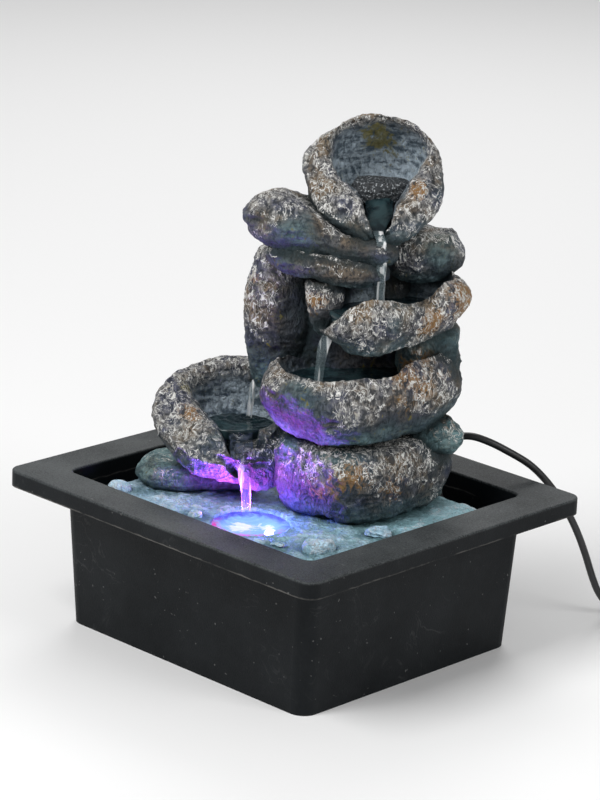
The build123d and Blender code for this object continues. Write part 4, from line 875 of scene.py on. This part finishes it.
cast("low_slab_rock", stone(53, dropping_plane((16.2, -1.7), column_top - 27.75, 33, 7), 58, 32, 15, foot=0.7,
                            crown=0.85, columns=260), "lower_slab")
top_outer = star(((80, 33.7), (108, 31.4), (133, 30.5), (151, 32.2), (172, 33.3), (189, 29.8), (222, 31.6), (254, 31.1),
                  (268, 34.8), (290, 35.5), (319, 35), (336, 34.6), (6, 34.4), (26, 35), (39, 34.6), (59, 34)),
                 blur=5.0)
top_inner = star(((272, 38), (266, 36), (263, 30), (254, 21), (240, 17.5), (224, 17), (205, 18.2), (188, 20),
                  (170, 21.6), (154, 22.8), (130, 23.6), (105, 22.5), (81, 22.4), (60, 24), (42, 26), (21, 25.5),
                  (357, 20.1), (331, 17.8), (315, 18.8), (297.5, 21.9), (283, 31), (278, 36)), at=(2, 6), blur=3.0)
cast("top_bowl_rock", bowl(59, leaning_plane((7, 35.5), column_top - 0.9, 48), 36, 8, top_outer, top_inner,
                           spout=(-85, 9, 7), foot=0.5, crown=0.92, belly=0.75, lips=6.0), "top_bowl")


# Deck, pebbles and foam
def deck_shell():
    """Deck: rings about the pool, out along the underside, up the edge, in over the rough top and down into the cup.
    The plate's edge is a soft least of the distances to its five sides along each direction."""
    ray = rays(angles_round(360))
    sharpness = 18
    sides = (((1, 0), 79.2), ((-1, 0), 62.4), ((0, 1), 52.4), ((0, -1), 70.2), ((-0.940, 0.341), 58.66))
    shares = sum((np.clip(ray @ np.array(way), 1e-6, None) / (far - pool_at @ np.array(way))) ** sharpness
                 for way, far in sides)
    reach = shares ** (-1 / sharpness)
    cup = pool_radius + pool_cup_wall
    profile = [(0.1 * cup, 0, pool_cup_under), (0.9 * cup, 0, pool_cup_under), (cup, 0, pool_cup_under + 1),
               (cup, 0, deck_under)]
    profile += [(cup, share, deck_under) for share in (0.05, 0.5, 0.95)]
    profile += [(cup, 0.99, deck_under + 0.4), (cup, 1, deck_under + 2), (cup, 1, deck_top - 1.6),
                (cup, 0.985, deck_top - 0.3)]
    profile += [(pool_radius, share, deck_top) for share in np.linspace(0.965, 0.02, 26)]
    profile += [(pool_radius + 0.3, 0, deck_top - 0.4), (pool_radius, 0, deck_top - 1.5),
                (pool_radius * 0.985, 0, deck_top - 5), (pool_radius * 0.96, 0, pool_floor + 1.2),
                (pool_radius * 0.88, 0, pool_floor), (pool_radius * 0.1, 0, pool_floor)]
    rings = [level_ring(pool_at + ray * (start + share * (reach - start))[:, None], level)
             for start, share, level in profile]
    grid = through_rings(rings, 260)
    top = np.clip((grid[..., 2] - deck_top + 1.2) / 1.0, 0, 1)
    plan = grid * np.array([1, 1, 0])
    ripple = layered(plan, 9.0, 71, 2)
    lumps = np.clip(layered(plan, 5.0, 83, 2) - 0.15, 0, 1)
    grit = layered(plan, 1.7, 97, 2)
    grid[..., 2] += top * (0.4 * ripple + 0.9 * lumps + 0.25 * grit - 0.2)
    raised = np.clip(0.35 + 0.3 * ripple + 0.8 * lumps + 0.3 * grit, 0, 1)
    wash = np.clip(0.5 + 0.009 * (grid[..., 0] + 0.6 * grid[..., 1]) - 0.4 * ripple, 0, 1)
    return grid, {"raised": raised, "wash": wash}


def leg_shell(at):
    """A straight leg with a rounded foot: rings from the basin's floor to the deck."""
    ray = rays(angles_round(40))
    profile = [(0.2, floor_top), (0.85, floor_top)]
    profile += [(1.0, level) for level in np.linspace(floor_top + 0.8, deck_under, 16)] + [(0.9, deck_under + 1)]
    rings = [level_ring(np.array(at) + ray * leg_radius * share, level) for share, level in profile]
    grid = through_rings(rings, 60)
    flat = np.ones(grid.shape[:2])
    return grid, {"raised": 0.3 * flat, "wash": 0.2 * flat, "contact_shade": 0 * flat}


deck_grid, deck_values = deck_shell()
pebbles = [stone(61 + turn, level_plane((x, y), deck_top - 0.6, turn), 15 * share, 11 * share, 5.6 * share, foot=0.95,
                 crown=0.75, belly=0.4, rough=0.9, teal=0.2, rows=50, columns=90)
           for x, y, turn, share in pebble_places]
clouds = [thinned(grid) for _, (grid, _), _ in rocks]
# Painted shade over the front of the deck, joined to the painted shade near the rocks and pebbles
front_shade = np.clip((deck_grid[..., :2] @ toward_front - 30) / 40, 0, 1)
near_deck = np.concatenate(clouds + [thinned(grid) for grid, _ in pebbles])
deck_values["contact_shade"] = np.maximum(contact_shade_of(deck_grid, near_deck), 0.5 * front_shade)
clouds.append(thinned(deck_grid))
for index, (name, (grid, values), replaced) in enumerate(rocks):
    # Painted shade where each rock comes near the other rocks and the deck
    values["contact_shade"] = contact_shade_of(grid, np.concatenate(clouds[:index] + clouds[index + 1:]))
    finish(skin(name, (grid, values)), painted_rock, "rock_insert", "rock_stone", *replaced)
deck_finish = deck_paint()
legs = [leg_shell(place) for place in leg_places]
finish(skin("cast_deck", (deck_grid, deck_values), *legs), deck_finish, "rock_insert", "deck_stone", "deck")
finish(skin("deck_pebbles", *pebbles), deck_finish, "rock_insert", "pebble_stone", "pebbles")
foam = stone(67, faced_plane((19, 31), 215.0), 29, 18, 10.5, foot=0.9, crown=0.86, corner=3.0, rough=0.35, rows=90,
             columns=170)
finish(skin("foam_pad", foam), foam_paint(), "rock_insert", "foam", "diffuser_sponge")


# Water
def sheet_of_water(edge, level, depth, ripple_at):
    """A body of water: rings along its bottom, up its side and in over a top whose level is rippled by a damped cosine
    of the distance from where a stream falls."""
    middle = edge.mean(axis=0)
    profile = ((0.05, -depth), (0.6, -depth), (0.97, -depth), (1.0, -0.6 * depth), (1.0, -0.2), (0.985, 0.0))
    profile += tuple((share, 0.0) for share in np.linspace(0.95, 0.03, 14))
    rings = [level_ring(middle + (edge - middle) * share, level + drop) for share, drop in profile]
    grid = through_rings(rings, 80)
    top = np.clip((grid[..., 2] - level + 0.3) / 0.3, 0, 1)
    far = np.linalg.norm(grid[..., :2] - np.array(ripple_at), axis=-1)
    grid[..., 2] += top * 0.55 * np.cos(far * 1.5) * np.exp(-far / 7.0)
    grid[..., 2] += top * 0.25 * layered(grid, 6.0, 5, 2)
    return grid


def stream(path, wide, thin, phase):
    """A falling stream: level ellipses along a path, from its foot up, whose widths swell and pinch with the angle."""
    angle = angles_round(36)
    along, across = np.array([diagonal, diagonal, 0]), np.array([-diagonal, diagonal, 0])
    path = np.array(path, float)[::-1]
    share = np.linspace(1, 0, len(path))
    rings = []
    for point, down in zip(path, share):
        size = 1 + 0.16 * np.sin(3 * angle + 5 * down + phase) + 0.1 * np.sin(2 * angle - 9 * down)
        half_wide = (wide[0] + (wide[1] - wide[0]) * down) / 2
        half_thin = (thin[0] + (thin[1] - thin[0]) * down) / 2
        rings.append(point + along * (half_wide * size * np.cos(angle))[:, None]
                     + across * (half_thin * size * np.sin(angle))[:, None])
    return through_rings(rings, 90), {}


pond = still_water()
clear = falling_water("falling_water", 0.58)


def pour(name, shell, paint):
    finish(skin(name, shell), paint, "rock_insert", "lamp_lens")


def pond_in(plane, hollow, share, level, ripple_at):
    """Water in a level bowl: the hollow's own outline, drawn in by a share, at one level."""
    edge = on_plane(plane, hollow * share, np.zeros(len(hollow)))[:, :2]
    return sheet_of_water(edge, level, 6.0, ripple_at), {}


pour("upper_water", pond_in(upper_plane, upper_hollow, 0.93, upper_water_level, (39.5, 11.5)), pond)
pour("middle_water", pond_in(middle_plane, middle_hollow, 0.95, middle_water_level, (13.5, -5.0)), pond)
lower_turn = np.array([[diagonal, diagonal], [-diagonal, diagonal]])
lower_edge = np.array([-20.0, -19.0]) + oval(34, 26, 2.2) @ lower_turn
pour("lower_water", (sheet_of_water(lower_edge, lower_water_level, 5.0, (-23.5, -9.5)), {}), pond)

# Streams: the path from the spout down, the widths at its start and foot, the thicknesses there and the ripples' phase
streams = (
    ("upper_stream", ((38, 8.5, 208), (41.5, 7.4, 205), (43.2, 7.1, 197), (43.8, 7.1, 184), (43.8, 7.1, 168.5)),
     (5.0, 3.6), (2.4, 2.2), 1.0, clear),
    ("top_water", ((20, 30, 219.5), (24.5, 24.5, 217), (30, 17.5, 213), (35, 11.5, 209), (38.5, 8.4, 206)),
     (15, 7), (9, 3.5), 5.0, pond),
    ("middle_stream", ((29.5, -6.2, 161.5), (27.3, -8.4, 159.5), (25.8, -9.8, 154), (24.6, -10.9, 146),
                       (23.8, -11.6, 134)), (6.0, 4.0), (2.6, 2.2), 2.0, clear),
    ("lower_stream", ((-18.0, -3.4, 130.5), (-20.2, -5.6, 127.0), (-22.2, -7.5, 122.0), (-23.0, -8.3, 115),
                      (-23.6, -9, 105)), (3.6, 2.8), (2.0, 2.0), 3.0, clear),
    ("chute_water", ((-16, -22, 105.6), (-9, -29, 104), (-3, -34.5, 101.2), (1.5, -38, 98.2), (4, -39.4, 96)),
     (13, 6.5), (11, 4), 6.0, water_film()),
    ("pool_stream", ((-0.5, -37.5, 98.5), (3.5, -39.5, 95.5), (6.0, -39.9, 88), (7.3, -39.9, 79), (7.9, -39.9, 70)),
     (5.4, 4.0), (2.8, 2.4), 4.0, falling_water("lit_stream", 0.26)))
for name, path, wide, thin, phase, water in streams:
    pour(name, stream(path, wide, thin, phase), water)


def lit_pool():
    """Water of the pool, with how near each part is to the lamp's core, to the bright patches of its painted glow and
    to the painted glow at the rim.
    """
    edge = pool_at + (pool_radius - 0.4) * rays(angles_round(180))
    grid = sheet_of_water(edge, pool_water_level, 2.2, (7.9, -39.9))
    flat = grid[..., :2] - pool_at
    toward = flat @ toward_front
    aside = flat @ beside_front
    glow = 1.1 * np.exp(-(((toward - 5) / 9) ** 2) - ((aside + 5) / 8) ** 2)
    glow += 0.65 * np.exp(-(((toward - 3) / 7) ** 2) - ((aside - 8) / 7) ** 2)
    near = 1 - np.linalg.norm(flat, axis=-1) / pool_radius + 0.02 * toward
    painted_rim_glow = np.clip((np.linalg.norm(flat, axis=-1) - 13.5) / 3, 0, 1) * np.clip(0.25 + toward / 12 - aside / 30, 0, 1)
    return grid, {"glow": glow, "near": np.clip(0.4 + near, 0, 1), "painted_rim_glow": painted_rim_glow}


pour("pool_water", lit_pool(), lit_water())


# Studio: a pale floor, a white world for the camera and soft lamps
world_light = 0.36
world_seen = 1.0
lamps_aim = Vector((0, 0, 0.12))


def studio():
    """A floor of one large square, three soft area lamps and an even world."""
    half = 3000.0
    corners = np.array([(-half, -half, 0), (half, -half, 0), (half, half, 0), (-half, half, 0)]) * MM
    mesh = bpy.data.meshes.new("floor")
    mesh.from_pydata(corners.tolist(), [], [(0, 1, 2, 3)])
    floor = bpy.data.objects.new("floor", mesh)
    scene.collection.objects.link(floor)
    paint = Paint("pale_floor", Base_Color=(0.9, 0.9, 0.9), Roughness=0.9)
    floor.data.materials.append(paint.material)
    world = bpy.data.worlds.new("studio")
    world.use_nodes = True
    tree = world.node_tree
    ground = tree.nodes["Background"]
    path = tree.nodes.new("ShaderNodeLightPath")
    seen = tree.nodes.new("ShaderNodeMath")
    seen.operation = "MAXIMUM"
    tree.links.new(path.outputs["Is Camera Ray"], seen.inputs[0])
    tree.links.new(path.outputs["Is Transmission Ray"], seen.inputs[1])
    level = tree.nodes.new("ShaderNodeMapRange")
    tree.links.new(seen.outputs[0], level.inputs["Value"])
    level.inputs["To Min"].default_value = world_light
    level.inputs["To Max"].default_value = world_seen
    tree.links.new(level.outputs[0], ground.inputs["Strength"])
    ground.inputs["Color"].default_value = (1, 1, 1, 1)
    scene.world = world
    for name, place, size, power in (("key", (-0.1, -1.2, 1.5), 0.9, 24.0), ("side", (1.5, 0.2, 1.0), 0.8, 9.0),
                                     ("rear", (-0.9, 1.1, 1.3), 0.8, 9.0)):
        lamp = bpy.data.lights.new(name, "AREA")
        lamp.size = size
        lamp.energy = power
        piece = bpy.data.objects.new(name, lamp)
        piece.location = place
        piece.rotation_euler = (lamps_aim - Vector(place)).to_track_quat("-Z", "Y").to_euler()
        scene.collection.objects.link(piece)


def pool_lamps():
    """Small discs over the pool that face up, for the coloured light that its lamp throws on the rocks round it, and a
    bulb for the deck."""
    for name, kind, place, tint, power in (("violet_glow", "AREA", (6, -50, 73.0), (0.27, 0.09, 1.0), 0.15),
                                           ("red_glow", "AREA", (1.5, -44, 73.0), (1.0, 0.03, 0.25), 0.035),
                                           ("blue_glow", "POINT", (24, -40, 74.0), (0.10, 0.12, 1.0), 0.04)):
        lamp = bpy.data.lights.new(name, kind)
        lamp.color = tint
        lamp.energy = power
        if kind == "AREA":
            lamp.shape = "DISK"
            lamp.size = 0.01
        else:
            lamp.shadow_soft_size = 0.002
        piece = bpy.data.objects.new(name, lamp)
        piece.location = Vector(place) * MM
        piece.rotation_euler = (math.pi, 0, 0)
        piece.visible_camera = False
        scene.collection.objects.link(piece)
        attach(piece, "rock_insert")


studio()
pool_lamps()
scene.view_settings.view_transform = "Standard"

# Finishes of the solids that show as they are
black_moulding = plain_paint("black_moulding", (0.016, 0.017, 0.019), 0.45, spread=0.3)
grey_moulding = plain_paint("grey_moulding", (0.10, 0.105, 0.11), 0.42, spread=0.2)
black_rubber = plain_paint("black_rubber", (0.011, 0.011, 0.012), 0.62, spread=0.25, bump=0.0002)
clear_vinyl = plain_paint("clear_vinyl", (0.62, 0.66, 0.64), 0.18, spread=0.08, Transmission_Weight=0.55, IOR=1.4)
bright_steel = plain_paint("bright_steel", (0.62, 0.63, 0.65), 0.24, metallic=1.0, spread=0.08, bump=0.00003)
board = circuit_board("circuit_board", (0.012, 0.075, 0.030), (0.05, 0.16, 0.06))
lamp_board = circuit_board("lamp_board", (0.55, 0.56, 0.55), (0.40, 0.42, 0.42))
finishes = {
    "basin": basin_paint(), "water_hose": clear_vinyl, "led_seal": black_rubber, "led_housing": black_moulding,
    "led_board": lamp_board, "led_chips": plain_paint("lamp_chip", (0.75, 0.66, 0.25), 0.3, Coat_Weight=0.5),
    "led_lens": lit_lens(), "pump_case": black_moulding, "stator_core": stacked_steel(), "stator_coils": wound_copper(),
    "pump_potting": plain_paint("cast_resin", (0.02, 0.02, 0.024), 0.16, spread=0.35, Coat_Weight=0.6),
    "control_board": board,
    "rotor_magnet": plain_paint("ferrite", (0.035, 0.034, 0.036), 0.5, spread=0.35, bump=0.0002),
    "impeller": plain_paint("pale_nylon", (0.58, 0.58, 0.55), 0.4, spread=0.08), "shaft_bushes": black_rubber,
    "pump_shaft": bright_steel, "pump_cover": black_moulding, "flow_slider": grey_moulding,
    "suction_cups": plain_paint("smoked_rubber", (0.06, 0.065, 0.07), 0.3, spread=0.2, Coat_Weight=0.3),
    "cord_gland": black_rubber, "led_plug": black_moulding, "led_lead": cord_finish, "cord_tie": black_moulding,
    "usb_overmould": black_moulding, "usb_shell": bright_steel,
    "usb_tongue": plain_paint("pale_tongue", (0.6, 0.6, 0.58), 0.4, spread=0.08)}
for node, paint in finishes.items():
    nodes[node].data.materials.clear()
    nodes[node].data.materials.append(paint.material)
